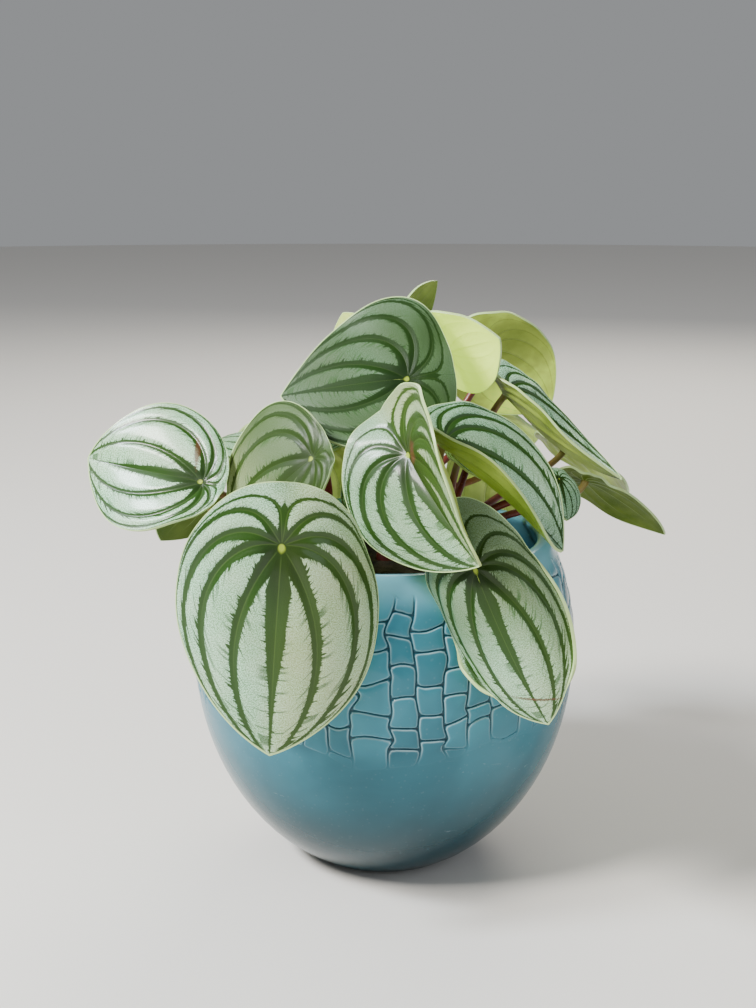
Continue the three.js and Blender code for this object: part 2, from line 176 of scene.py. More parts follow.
def newMaterial(name, **settings):
    material = bpy.data.materials.new(name)
    material.use_nodes = True
    shader = material.node_tree.nodes["Principled BSDF"]
    setSockets(material.node_tree, shader, **settings)
    return material, material.node_tree, shader


def newGroup(name, vectors, numbers, masks):  # its inputs are vectors and numbers, its outputs are masks
    group = bpy.data.node_groups.new(name, "ShaderNodeTree")
    sockets = [("INPUT", "NodeSocketVector", vectors), ("INPUT", "NodeSocketFloat", numbers),
               ("OUTPUT", "NodeSocketFloat", masks)]
    for way, kind, socketNames in sockets:
        for socketName in socketNames:
            group.interface.new_socket(socketName, in_out=way, socket_type=kind)
    return group, group.nodes.new("NodeGroupInput").outputs, group.nodes.new("NodeGroupOutput").inputs


def useGroup(tree, group, **values):
    node = addNode(tree, "ShaderNodeGroup", node_tree=group)
    for name, value in values.items():
        plug(tree, value, node.inputs[name])
    return {socket.name: socket for socket in node.outputs}


def makeMottleGroup():  # patches, fine grain and specks for the glaze, the clay, the soil and the stalks
    group, given, result = newGroup("mottle", ["Vector"], ["Patch", "Grain"], ["Patches", "Fine", "Specks"])
    patches = noiseAt(group, given["Vector"], given["Patch"], 3, 0.55, 0.4)
    specks = addNode(group, "ShaderNodeTexVoronoi")
    plug(group, given["Vector"], specks.inputs["Vector"])
    plug(group, given["Grain"], specks.inputs["Scale"])
    plug(group, step(group, patches, 0.3, 0.7), result["Patches"])
    plug(group, noiseAt(group, given["Vector"], given["Grain"], 4, 0.6), result["Fine"])
    plug(group, step(group, specks.outputs["Distance"], 0.22, 0.08), result["Specks"])
    return group


mottleGroup = makeMottleGroup()


# mesh helpers

def extruded(bm, edges):  # pulls a new ring out of some edges, and gives its points and its edges
    made = bmesh.ops.extrude_edge_only(bm, edges=edges)["geom"]
    return ([item for item in made if isinstance(item, bmesh.types.BMVert)],
            [item for item in made if isinstance(item, bmesh.types.BMEdge)])


def addObject(name, data, place=(0, 0, 0), turn=(0, 0, 0)):
    added = bpy.data.objects.new(name, data)
    added.location = place
    added.rotation_euler = turn
    bpy.context.scene.collection.objects.link(added)
    return added


def addMesh(name, bm, materials):
    mesh = bpy.data.meshes.new(name)
    bm.to_mesh(mesh)
    bm.free()
    for material in materials:
        mesh.materials.append(material)
    return addObject(name, mesh)


def finishPiece(name, bm, materials, nodes):
    piece = addMesh(name, bm, materials)
    piece.data.shade_smooth()
    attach(piece, "root")
    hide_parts(*nodes)
    return piece


# pot

potValues = {
    "radius": 70, "widestZ": 79, "lowerAxis": 86, "upperAxis": 83, "rimZ": 121.5, "wall": 4.5,
    "floorZ": 6, "floorInset": 7, "footEdge": 1.5, "lowerRings": 14,
    "cellsAround": 44, "cellRows": 6, "netTopZ": 116.5, "netLowZ": 62, "netLowWave": 3,
    "lineShift": 0.22, "sideShift": 0.09, "grooveShift": 1.4, "heightShift": 1,
    "grooveDepth": 0.55, "cuts": 4, "waver": 3, "waverSize": 11,
    # the net's two ends: millimetres over which it fades, how ragged the lower one is, and what is left
    "topFade": (0.3, 5), "lowFade": (1, 9), "ragged": 5, "fadedRelief": 0.04,
    # rings inside a cell: distance from the groove, height, how much groove and how much pale edge, which is
    # partly the glaze thinning over the edge and partly a painted highlight
    "rings": [(0.18, -0.44, 0.6, 0), (0.34, -0.16, 0.1, 0.2), (0.5, 0.04, 0, 1), (0.7, 0.15, 0, 0.25),
              (1.1, 0.22, 0, 0), (3, 0.36, 0, 0)],
    # how high a cell's middle is raised, and how much weaker the pale edge is away from upper edges, a
    # painted highlight of light from above
    "dome": 0.46, "highlightAbove": 0.35,
    # heights of the rings of the band over the net and of the inside
    "bandZ": [117.6, 118.8, 120], "insideZ": [118, 112, 106, 100, 79, 50, 25, 12],
    # rings of the rounded rim: how far inwards and how far down from its top
    "rim": [(0.1, 0.8), (0.5, 0.35), (1.1, 0.1), (1.8, 0), (3.1, 0), (3.8, 0.2), (4.2, 0.6), (4.45, 1.4)],
    # rings round the foot: how far outwards and how far up
    "foot": [(1.1, 0.7), (0.6, 0.15), (0, 0)], "bareFoot": 3.5,
    # heights between which painted shade darkens the glaze towards the foot, a painted highlight makes it
    # paler under the rim, and it has scuffs
    "paintedFootShadeZ": (75, 10), "rimHighlightZ": (108, 119), "scuffZ": (85, 45),
    "scuffTurn": (0.5, 0.9, 0.4), "scuffStretch": (1, 1, 4.5),
    "scuffScale": 190, "scuffCut": (0.63, 0.74), "areaScale": 36, "areaCut": (0.5, 0.68),
    "roughness": 0.14, "rougher": {"Fine": 0.12, "Scuffs": 0.25},
    "glaze": (68, 140, 158), "clay": (182, 160, 138),
    # colours over the glaze and over the clay: mask, share, colour
    "glazeLayers": [
        # the second layer is painted shade towards the foot, the third a painted highlight under the rim
        ("Dark", 0.55, (24, 72, 86)), ("Foot", 0.9, (5, 32, 38)), ("Rim", 0.6, (128, 190, 204)),
        # pale edges: the glaze thinning over them, with a painted highlight that is strongest on upper edges
        ("Groove", 1, (14, 46, 58)), ("PaleEdgeAndHighlight", 0.62, (196, 228, 234)), ("Scuffs", 0.5, (150, 172, 176)),
        ("Specks", 0.06, (150, 172, 176)),
    ],
    "clayLayers": [("Fine", 1, (150, 128, 108)), ("Specks", 1, (104, 86, 72))],
}


def potAxis(z):
    return potValues["lowerAxis"] if z < potValues["widestZ"] else potValues["upperAxis"]


def potOuter(z):
    return potValues["radius"] * math.sqrt(1 - ((z - potValues["widestZ"]) / potAxis(z)) ** 2)


def potPoint(angle, z, lift):  # on the pot's outside, moved out along the normal by lift
    normal = Vector((potOuter(z) / potValues["radius"] ** 2, (z - potValues["widestZ"]) / potAxis(z) ** 2))
    normal.normalize()
    radius = potOuter(z) + lift * normal.x
    return Vector((radius * math.cos(angle), radius * math.sin(angle), z + lift * normal.y)) * mm


def grooveLevels(column):
    rows = list(range(potValues["cellRows"] + 1))
    return rows if column % 2 == 0 else [0, *(row + 0.5 for row in rows[:-1]), rows[-1]]


def netLow(angle):
    wave = math.sin(2 * angle + 1) + 0.6 * math.sin(5 * angle)
    return potValues["netLowZ"] + potValues["netLowWave"] * wave


def netCorner(line, level):
    v = potValues
    wrapped = line % v["cellsAround"]
    stepNumber = level * 2
    column = (wrapped - (wrapped + stepNumber) % 2 + v["cellsAround"]) % v["cellsAround"]
    side = v["lineShift"] * drawSigned(wrapped, 0, 1) + v["sideShift"] * drawSigned(wrapped, stepNumber, 2)
    angle = (line + side) / v["cellsAround"] * 2 * math.pi
    evenZ = v["netTopZ"] + (netLow(angle) - v["netTopZ"]) * level / v["cellRows"]
    move = (v["grooveShift"] * drawSigned(column, stepNumber, 3)
            + v["heightShift"] * drawSigned(wrapped, stepNumber, 4))
    return angle, evenZ if level == 0 else evenZ + move


def placeOf(vert):
    return math.atan2(vert.co.y, vert.co.x), vert.co.z / mm


def netFade(angle, z):  # the net runs out softly at its top and its lower edge
    v = potValues
    ragged = v["ragged"] * noise.noise(Vector((3.5 * math.cos(angle), 3.5 * math.sin(angle), 0)))
    low = smooth(*v["lowFade"], z - netLow(angle) - ragged)
    return smooth(*v["topFade"], v["netTopZ"] - z) * (v["fadedRelief"] + (1 - v["fadedRelief"]) * low)


def withNeighbours(ring):  # each point with the one before and the one after it
    return zip(ring[-1:] + ring, ring, ring[1:] + ring[:1])


def insetRing(outline, distance):  # a cell's outline moved inwards, its corners rounded a little
    centre = sum(outline, Vector()) / len(outline)
    most = 0.7 * distance / (distance + 1.2 * mm)  # so that a ring never crosses the next one
    ring = []
    for before, here, after in withNeighbours(outline):
        reach = (after - before).normalized().cross(here - centre).length
        ring.append(here.lerp(centre, min(distance / reach, most)))
    return [(before + here * 2 + after) / 4 for before, here, after in withNeighbours(ring)]


def buildPot():
    v = potValues
    bm = bmesh.new()
    grooveLayer = bm.verts.layers.float.new("groove")
    paleEdgeHighlightLayer = bm.verts.layers.float.new("paleEdgeAndHighlight")
    toneLayer = bm.verts.layers.float.new("cellTone")
    known = {}

    def corner(line, level):
        key = (line % v["cellsAround"], level)
        if key not in known:
            angle, z = netCorner(line, level)
            known[key] = bm.verts.new(potPoint(angle, z, 0))
        return known[key]

    for column in range(v["cellsAround"]):
        levels = grooveLevels(column)
        for high, low in zip(levels, levels[1:]):
            between = [level for level in grooveLevels(column + 1) if high < level < low]
            keys = [(column, low), (column + 1, low), *((column + 1, level) for level in between),
                    (column + 1, high), (column, high), *((column, level) for level in between)]
            bm.faces.new([corner(*key) for key in keys])
    cells = bm.faces[:]
    bmesh.ops.bisect_edges(bm, edges=bm.edges[:], cuts=v["cuts"])
    nearTop = (v["netTopZ"] - 3) * mm
    topVerts = {vert for vert in bm.verts if vert.is_boundary and vert.co.z > nearTop}
    for vert in bm.verts:  # the grooves waver a little on their way
        angle, z = placeOf(vert)
        spot = vert.co / (v["waverSize"] * mm)
        if vert not in topVerts:
            angle += noise.noise(spot) * v["waver"] / v["radius"]
            z += noise.noise(spot + Vector((9.3, 5.7, 2.1))) * v["waver"]
        fade = netFade(angle, z)
        vert.co = potPoint(angle, z, -v["grooveDepth"] * fade)
        vert[grooveLayer], vert[toneLayer] = fade, 0.5
    outlines = [[vert.co.copy() for vert in face.verts] for face in cells]
    middles = [sum(outline, Vector()) / len(outline) for outline in outlines]
    for distance, lift, groove, pale in v["rings"]:
        bmesh.ops.inset_individual(bm, faces=cells, thickness=0)
        for index, (face, outline) in enumerate(zip(cells, outlines)):
            for vert, spot in zip(face.verts, insetRing(outline, distance * mm)):
                # the pale edge is strongest on a cell's upper edge, a painted highlight of light from above
                above = (spot - middles[index]).normalized().z
                upperHighlight = 1 - v["highlightAbove"] + v["highlightAbove"] * above
                vert.co = spot
                angle, z = placeOf(vert)
                fade = netFade(angle, z)
                vert.co = potPoint(angle, z, lift * fade)
                vert[toneLayer] = 0.5 + (draw(index, 1, 40) - 0.5) * fade
                vert[grooveLayer], vert[paleEdgeHighlightLayer] = groove * fade, pale * fade * upperHighlight
    for vert in bmesh.ops.poke(bm, faces=cells)["verts"]:
        angle, z = placeOf(vert)
        vert.co = potPoint(angle, z, v["dome"] * netFade(angle, z))

    openEdges = [edge for edge in bm.edges if edge.is_boundary]
    topEdges = [edge for edge in openEdges if edge.verts[0].co.z > nearTop]
    lowEdges = [edge for edge in openEdges if edge.verts[0].co.z < nearTop]

    def extend(edges, place):  # a new ring, each of its points put where place says
        ring, edges = extruded(bm, edges)
        for vert in ring:
            vert.co = place(*placeOf(vert))
            vert[grooveLayer], vert[toneLayer] = 0, 0.5
        return edges

    def ringAt(radius, z):
        return lambda angle, _: Vector((radius * math.cos(angle), radius * math.sin(angle), z)) * mm

    rings = [ringAt(potOuter(z), z) for z in v["bandZ"]]
    rings += [ringAt(potOuter(v["rimZ"]) - inwards, v["rimZ"] - down) for inwards, down in v["rim"]]
    rings += [ringAt(potOuter(z) - v["wall"], z) for z in v["insideZ"]]
    rings += [ringAt(potOuter(v["insideZ"][-1]) - v["wall"] - v["floorInset"], v["floorZ"])]
    edges = topEdges
    for place in rings:
        edges = extend(edges, place)
    bmesh.ops.edgeloop_fill(bm, edges=edges)

    edges = lowEdges
    for index in range(1, v["lowerRings"] + 1):
        left = (1 - index / v["lowerRings"]) / (1 - (index - 1) / v["lowerRings"])

        def lower(angle, z, left=left):
            return potPoint(angle, v["footEdge"] + (z - v["footEdge"]) * left, 0)

        edges = extend(edges, lower)
    footRadius = potOuter(0) - v["footEdge"]
    for outwards, z in v["foot"]:
        edges = extend(edges, ringAt(footRadius + outwards, z))
    glazed = set(bm.faces)
    edges = extend(edges, ringAt(footRadius - v["bareFoot"], 0))
    bmesh.ops.edgeloop_fill(bm, edges=edges)
    for face in set(bm.faces) - glazed:
        face.material_index = 1
    bmesh.ops.recalc_face_normals(bm, faces=bm.faces[:])
    finishPiece("glazedPot", bm, [makeGlaze(), makeClay()], ["pot"])


def makeGlaze():
    v = potValues
    material, tree, shader = newMaterial(
        "tealGlaze", Coat_Weight=0.12, Coat_Roughness=0.06, IOR=1.5, Specular_IOR_Level=0.2)
    place = objectPlace(tree)
    height = split(tree, place)["Z"]
    masks = useGroup(tree, mottleGroup, Vector=place, Patch=28.0, Grain=420.0)

    def atHeights(start, end):
        return step(tree, height, start * mm, end * mm)

    # short pale scuffs, mostly low on the pot
    stretched = addNode(tree, "ShaderNodeMapping", vector_type="POINT")
    plug(tree, v["scuffTurn"], stretched.inputs["Rotation"])
    plug(tree, v["scuffStretch"], stretched.inputs["Scale"])
    plug(tree, place, stretched.inputs["Vector"])
    scuffs = noiseAt(tree, stretched.outputs[0], v["scuffScale"], 5, 0.7, 0.6)
    areas = noiseAt(tree, place, v["areaScale"])
    scuffs = times(tree, step(tree, scuffs, *v["scuffCut"]), step(tree, areas, *v["areaCut"]))
    masks.update({
        "Dark": timesPlus(tree, masks["Patches"], 0.5, attribute(tree, "cellTone")),
        # painted shade towards the foot and a painted highlight under the rim
        "Foot": atHeights(*v["paintedFootShadeZ"]), "Rim": atHeights(*v["rimHighlightZ"]),
        # the pale edge is partly a painted highlight
        "Groove": attribute(tree, "groove"), "PaleEdgeAndHighlight": attribute(tree, "paleEdgeAndHighlight"),
        "Scuffs": times(tree, scuffs, atHeights(*v["scuffZ"])),
    })
    setSockets(tree, shader, Base_Color=layered(tree, rgb(*v["glaze"]), masks, v["glazeLayers"]),
               Roughness=summed(tree, v["roughness"], masks, v["rougher"]),
               Normal=bump(tree, masks["Patches"], 0.25, 0.4 * mm))
    return material


def makeClay():
    v = potValues
    material, tree, shader = newMaterial("bareClay", Roughness=0.85)
    masks = useGroup(tree, mottleGroup, Vector=objectPlace(tree), Patch=60.0, Grain=900.0)
    setSockets(tree, shader, Base_Color=layered(tree, rgb(*v["clay"]), masks, v["clayLayers"]),
               Normal=bump(tree, masks["Fine"], 0.4, 0.3 * mm))
    return material


buildPot()
print("pot done")


# soil

soilValues = {
    "topZ": 103.5, "underside": 12, "gap": 0.6, "sides": 128, "rings": 40,
    "mound": 2.5, "lumps": 1.2, "lumpSize": 9,
    "crumbs": 420, "crumbSize": (0.7, 2.2), "crumbReach": 0.96, "crumbSunk": 0.2, "crumbUneven": 0.28,
    "chips": 0.15,  # the share of the crumbs that are chips of bark
    "roughness": 0.95, "rougher": {"Patches": -0.25},
    "dark": (34, 26, 20), "brown": (66, 50, 38), "chip": (104, 82, 62),
}


def buildSoil():
    v = soilValues
    bm = bmesh.new()
    inner = potOuter(v["topZ"]) - potValues["wall"] - v["gap"]
    bmesh.ops.create_circle(bm, cap_ends=False, segments=v["sides"], radius=inner * mm)
    edges = bm.edges[:]
    for index in range(1, v["rings"]):
        ring, edges = extruded(bm, edges)
        scale = (1 - index / v["rings"]) / (1 - (index - 1) / v["rings"])
        bmesh.ops.scale(bm, vec=(scale, scale, 1), verts=ring)
    bmesh.ops.edgeloop_fill(bm, edges=edges)
    outline = [edge for edge in bm.edges if edge.is_boundary]
    skin = bm.verts[:]
    below, wallEdges = extruded(bm, outline)
    for vert in skin:
        share = vert.co.xy.length / (inner * mm)
        height = v["topZ"] + v["mound"] * (1 - share ** 2)
        lumps = noise.fractal(vert.co / (v["lumpSize"] * mm), 1, 2.2, 4) * v["lumps"]
        vert.co.z = (height + lumps * smooth(1.02, 0.9, share)) * mm
    for vert in below:
        vert.co.z = (v["topZ"] - v["underside"]) * mm
    bmesh.ops.edgeloop_fill(bm, edges=wallEdges)
    bmesh.ops.recalc_face_normals(bm, faces=bm.faces[:])
    finishPiece("pottingSoil", bm, [makeEarth("dampEarth", 0)], ["soil"])

    crumbs = bmesh.new()
    for index in range(v["crumbs"]):
        share = math.sqrt(draw(index, 1, 60)) * v["crumbReach"]
        turn = draw(index, 2, 61) * 2 * math.pi
        low, high = v["crumbSize"]
        size = low + (high - low) * draw(index, 3, 62) ** 3
        spot = Vector((share * inner * math.cos(turn), share * inner * math.sin(turn), 0))
        spot.z = v["topZ"] + v["mound"] * (1 - share ** 2) + size / 4 - v["crumbSunk"]
        made = bmesh.ops.create_icosphere(crumbs, subdivisions=1, radius=size / 2 * mm)["verts"]
        for vert in made:
            vert.co *= 1 + v["crumbUneven"] * noise.noise(vert.co / (0.5 * mm) + Vector((index, 0, 0)))
        stretch = (1 + 0.5 * draw(index, 4, 63), 1, 0.6 + 0.4 * draw(index, 5, 64))
        bmesh.ops.scale(crumbs, vec=stretch, verts=made)
        turned = Matrix.Rotation(draw(index, 6, 65) * 6.28, 3, "Z")  # up to about a full turn
        tilted = Matrix.Rotation(draw(index, 7, 66) - 0.5, 3, "X")
        bmesh.ops.rotate(crumbs, matrix=turned @ tilted, verts=made)
        bmesh.ops.translate(crumbs, vec=spot * mm, verts=made)
        chip = draw(index, 8, 67) > 1 - v["chips"]
        for face in {face for vert in made for face in vert.link_faces}:
            face.material_index = int(chip)
    finishPiece("soilCrumbs", crumbs, [makeEarth("crumbEarth", 0.3), makeEarth("barkChips", 1)], [])


def makeEarth(name, paleness):
    v = soilValues
    material, tree, shader = newMaterial(name)
    masks = useGroup(tree, mottleGroup, Vector=objectPlace(tree), Patch=120.0, Grain=900.0)
    layers = [("Patches", 1, v["brown"]), ("Fine", paleness, v["chip"])]
    setSockets(tree, shader, Base_Color=layered(tree, rgb(*v["dark"]), masks, layers),
               Roughness=summed(tree, v["roughness"], masks, v["rougher"]),
               Normal=bump(tree, masks["Fine"], 0.8, mm))
    return material


buildSoil()
print("soil done")


# plant: where the blades and stalks are, the same values as in the solids

crowns = {"left": (-20, -14), "right": (20, -10), "back": (2, 22)}
# Each blade has its crown, its hub and its tip, the azimuth and the elevation in degrees of the way that
# its upper side faces, and the widths of its halves. Pairs are for the left and the right half, seen with
# the tip at the top. What a blade doesn't say stands in commonBlade.
commonBlade = {
    # outline: how full the halves are, and the part behind the hub as a share of the part before it
    "fullness": (2.2, 2.2), "ratio": 0.3,
    # degrees of bend before and behind the hub, of twist, and of fold and curl of the halves
    "droop": 20, "back": 12, "twist": 0, "fold": (0, 0), "curl": (-15, -15),
    # stalk: how far behind the hub it bends, and how far it rises from the crown and sags before the hub
    "neck": 16, "rise": 26, "sag": 0,
    # looks: yellow tint, how dull the silver is, partly as painted shade, and how much of that gives way at
    # the lit tip, how light the underside is, partly as painted light through it, how wide the stripes are
    # and how much wider on the left, how deep the veins lie
    "tint": (0.1, 0.1), "dullAndShade": 0, "litTip": 0, "under": 0.4, "stripes": 1, "leftWider": 0, "relief": 1,
    # how many millimetres of a margin are rolled up, between which shares of the length
    "roll": ((0, 0, 1), (0, 0, 1)),
    # a brown mark's place, half length, half width and turn
    "blemish": (0, 300, 1, 1, 0),
}
blades = {
    "front": {
        "crown": "left", "hub": (-32, -84, 138), "tip": (-38, -84, 69), "face": (5, 12),
        "width": (37, 34), "fullness": (2.8, 2.1), "ratio": 0.29, "droop": 10, "back": 5, "twist": -11,
        "curl": (-55, -28), "neck": 30, "rise": 18, "sag": 9, "tint": (0.42, 0.05), "stripes": 1.15,
    },
    "left": {
        "crown": "left", "hub": (-62, -36, 148), "tip": (-104, -18, 150), "face": (-10, 37),
        "width": (22, 26), "fullness": (3, 2.4), "ratio": 0.18, "back": 10, "twist": 20,
        "fold": (9, 11), "curl": (-5, -28), "stripes": 1.1, "blemish": (10, 4.5, 7, 1.2, 0.25),
    },
    "inner_left": {
        "crown": "left", "hub": (-24, -50, 159), "tip": (-52, -36, 127), "face": (-14, 43),
        "width": (16, 31), "fullness": (2.3, 1.3), "ratio": 0.18, "twist": 6, "fold": (0, 9),
        "curl": (-14, -24), "neck": 14, "tint": (0.8, 0.7), "dullAndShade": 0.95, "litTip": 0.4,
        "stripes": 1.25, "relief": 0.6,
    },
    "top": {
        "crown": "back", "hub": (8, -20, 181), "tip": (-36, -20, 175), "face": (-13, 25),
        "width": (28, 31), "fullness": (2, 0.9), "ratio": 0.38, "droop": 10, "twist": -6,
        "fold": (3, -10), "curl": (12, 15), "dullAndShade": 0.9, "stripes": 1.5, "relief": 0.7,
    },
    "centre": {
        "crown": "right", "hub": (7, -64, 163), "tip": (28, -90, 132), "face": (-25, 25),
        "width": (26, 28), "fullness": (1.9, 2.5), "ratio": 0.46, "droop": 10, "back": 15, "twist": -30,
        "fold": (36, 0), "curl": (26, -13), "tint": (0.6, 0.1), "dullAndShade": 0.36, "under": 0.3,
        "stripes": 1.55, "leftWider": 0.5, "roll": ((1.9, 0.4, 0.99), (0, 0, 1)),
        "blemish": (-3, 1.5, 4.5, 2, 0.9),
    },
    "right_mid": {
        "crown": "right", "hub": (20, -42, 163), "tip": (60, -50, 128), "face": (9, 42),
        "width": (25, 22), "fullness": (2.1, 2), "ratio": 0.25, "droop": 16, "back": 15, "twist": 4,
        "fold": (-4, 36), "curl": (-6, 70), "dullAndShade": 0.5, "litTip": 0.6, "under": 0.2,
    },
    "right_low": {
        "crown": "right", "hub": (28, -82, 130), "tip": (51, -86, 80), "face": (-27, 14),
        "width": (22, 26), "fullness": (3.4, 2.6), "ratio": 0.42, "back": 8, "twist": -6,
        "fold": (-4, -4), "curl": (-58, -52), "neck": 18, "tint": (0.3, 0.1), "dullAndShade": 0.62,
        "litTip": 0.8, "under": 0.6, "roll": ((3.2, 0.25, 0.93), (4.6, 0.5, 0.9)),
        "blemish": (-1, 46, 10, 0.5, -0.42),
    },
    "right_up": {
        "crown": "right", "hub": (45, 10, 171), "tip": (82, -16, 143), "face": (30, 38),
        "width": (14, 20), "fullness": (1.8, 1.8), "ratio": 0.27, "droop": -40, "back": 8, "twist": 10,
        "fold": (10, 45), "curl": (-5, 30), "under": 0.12, "stripes": 0.85,
    },
    "back_pale": {
        "crown": "back", "hub": (40, 40, 184), "tip": (65, 50, 158), "face": (172, 5),
        "width": (22, 20), "ratio": 0.5, "droop": 25, "curl": (-20, -20), "under": 0.5, "relief": 0.3,
    },
    "back_bright": {
        "crown": "back", "hub": (23, 5, 187), "tip": (40, -14, 194), "face": (186, 8),
        "width": (18, 18), "fullness": (1.6, 1.6), "ratio": 0.35, "droop": 10, "under": 1, "relief": 0.3,
    },
    "back_tip": {
        "crown": "back", "hub": (9, 48, 193), "tip": (21, 60, 208), "face": (190, 25),
        "width": (7, 7), "droop": 10, "curl": (-10, -10), "neck": 30, "rise": 60, "under": 0.2,
        "relief": 0.5,
    },
    "back_small": {
        "crown": "back", "hub": (-11, 22, 185), "tip": (-15, 34, 198), "face": (175, 25),
        "width": (9, 9), "ratio": 0.2, "droop": 10, "curl": (-10, -10), "neck": 22,
    },
    "left_behind": {
        "crown": "left", "hub": (-30, -24, 162), "tip": (-49, -12, 146), "face": (-20, 45),
        "width": (16, 17),
    },
    "left_dark": {
        "crown": "left", "hub": (-42, 8, 150), "tip": (-62, 16, 152), "face": (-30, 65),
        "width": (13, 13), "dullAndShade": 0.3,
    },
    "left_olive": {
        "crown": "left", "hub": (-63, -17, 138), "tip": (-80, -14, 122), "face": (-150, 30),
        "width": (14, 14), "dullAndShade": 1, "under": 0.05, "relief": 0.4,
    },
    "right_olive": {
        "crown": "right", "hub": (76, 20, 137), "tip": (108, 26, 114), "face": (150, 50),
        "width": (12, 9), "droop": 15, "dullAndShade": 0.75, "under": 0, "relief": 0.4,
    },
    "right_dark": {
        "crown": "right", "hub": (62, -12, 144), "tip": (64, -22, 131), "face": (35, 20),
        "width": (9, 9), "droop": 15, "dullAndShade": 0.3,
    },
    "middle_left": {
        "crown": "back", "hub": (-12, 2, 162), "tip": (-31, 4, 150), "face": (-50, 65),
        "width": (13, 13), "droop": 25,
    },
    "middle_right": {
        "crown": "right", "hub": (28, -8, 154), "tip": (48, -8, 142), "face": (50, 65),
        "width": (13, 13), "droop": 25,
    },
    "young": {
        "crown": "left", "hub": (-11, -16, 143), "tip": (-12, -24, 134), "face": (-10, 30),
        "width": (4, 4), "droop": 15, "curl": (10, 10), "neck": 8, "rise": 10,
    },
    "far_left": {
        "crown": "left", "hub": (-58, 30, 148), "tip": (-90, 46, 126), "face": (-115, 50),
        "width": (22, 22), "fullness": (2.4, 2.2), "droop": 25,
    },
    "far_low_left": {
        "crown": "left", "hub": (-34, 68, 138), "tip": (-44, 88, 80), "face": (-160, 20),
        "width": (27, 27), "fullness": (2.6, 2.4), "droop": 15, "back": 8, "tint": (0.1, 0.4),
    },
    "far_middle": {
        "crown": "back", "hub": (6, 64, 154), "tip": (10, 100, 124), "face": (180, 45),
        "width": (25, 25), "fullness": (2.4, 2.4), "droop": 25,
    },
    "far_low_right": {
        "crown": "back", "hub": (45, 68, 132), "tip": (60, 86, 76), "face": (145, 18),
        "width": (26, 26), "fullness": (2.6, 2.4), "droop": 15, "back": 8,
    },
    "far_upper_left": {
        "crown": "left", "hub": (-33, 37, 165), "tip": (-56, 57, 144), "face": (-120, 50),
        "width": (20, 20), "fullness": (2.4, 2.4), "droop": 25, "tint": (0.5, 0.1),
    },
    "far_right": {
        "crown": "right", "hub": (72, 44, 146), "tip": (96, 66, 120), "face": (120, 45),
        "width": (20, 20), "fullness": (2.4, 2.4), "droop": 25,
    },
    "far_top": {
        "crown": "back", "hub": (-3, 39, 174), "tip": (-2, 72, 163), "face": (180, 65),
        "width": (20, 19), "fullness": (2.4, 2.4), "droop": 30,
    },
    "far_upper_right": {
        "crown": "back", "hub": (38, 62, 156), "tip": (60, 86, 136), "face": (150, 50),
        "width": (18, 18), "fullness": (2.4, 2.4), "droop": 25, "tint": (0.1, 0.5),
    },
}
bladeShape = {
    "thickness": 0.9, "roundEdge": 0.3, "roundAngle": 50, "rollRadius": 1.5,
    "edgeRise": 0.42, "edgeFall": 0.9,  # powers that shape the outline behind the hub and at the tip
    "large": (160, 40), "small": (96, 20), "smallLength": 30,  # segments around and rings from hub to edge
    "ringCrowding": 1.4,  # over 1, the rings lie closer together towards the edge
    "mergeWithin": 0.004,  # millimetres between points that become one
    "rollStarts": 0.25, "rollEnds": 0.15,  # shares of the length in which a roll grows and runs out
    "veinDepth": 0.62, "veinWidth": 1.7, "usualLength": 70, "widestSpacing": 40,
    "swollen": 0.45,  # how much of the depth the skin between two veins lies above the smooth form
    "midribRelief": 0.35, "backRelief": 0.55,  # how much of the depth the midrib and the back veins have
    "reliefStarts": (0.02, 0.2), "reliefEnds": (0.7, 1), "edgeRelief": 0.2,
    "dimple": 0.8, "dimpleRadius": 4, "edgeWave": 0.5, "fullReliefLength": 45,
    # looks that vary over a blade, among them the dullness that is partly painted shade and the lighter
    # underside that is partly painted light
    "patchSize": 22, "patchTint": 0.35, "patchDullShade": 0.2, "patchUnder": 0.3,
    # the last pair: shares of the length over which the painted shade gives way towards the lit tip
    "tintBlend": 6, "tipLitSpan": (0.2, 0.8),
}
# Each pair of veins leaves the hub at an angle from the tip's direction and bends towards the tip: the
# angle at the hub in degrees, and two powers of the bend. The pairs are numbered from 0, the midrib.
veinPaths = [(0, 1.3, 0.68), (36, 1.3, 0.68), (100, 1.3, 0.68), (115, 2.6, 0.5), (146, 3.2, 0.29),
             (177, 5, 0.35)]
firstBackVein, backNumber = 3.5, 5.5  # what lies behind the hub, and the line straight behind it


def halfWidth(share, width, fullness):
    rise, fall = bladeShape["edgeRise"], bladeShape["edgeFall"]
    peak = rise / (rise + fall * fullness)
    most = peak ** (rise / fullness) * (1 - peak) ** fall
    return width * share ** rise * max(1 - share ** fullness, 0) ** fall / most


def arc(start, turn, length):  # the run and rise of a line that turns evenly
    bend = turn if abs(turn) > 1e-6 else 1e-6
    end = start + bend * length
    return (math.sin(end) - math.sin(start)) / bend, (math.cos(start) - math.cos(end)) / bend


def bladeFrame(values):
    blade = {**commonBlade, **values}
    hub = Vector(blade["hub"])
    along = Vector(blade["tip"]) - hub
    half = math.radians(blade["droop"]) / 2
    tipLength = along.length * half / math.sin(half)
    along.normalize()
    azimuth, elevation = (math.radians(angle) for angle in blade["face"])
    up = Vector((math.sin(azimuth) * math.cos(elevation), -math.cos(azimuth) * math.cos(elevation),
                 math.sin(elevation)))
    up = (up - along * up.dot(along)).normalized()
    lengthways = along * math.cos(half) + up * math.sin(half)
    normal = up * math.cos(half) - along * math.sin(half)
    return {**blade, "hub": hub, "tipLength": tipLength, "baseLength": blade["ratio"] * tipLength,
            "sideways": lengthways.cross(normal), "lengthways": lengthways, "normal": normal}


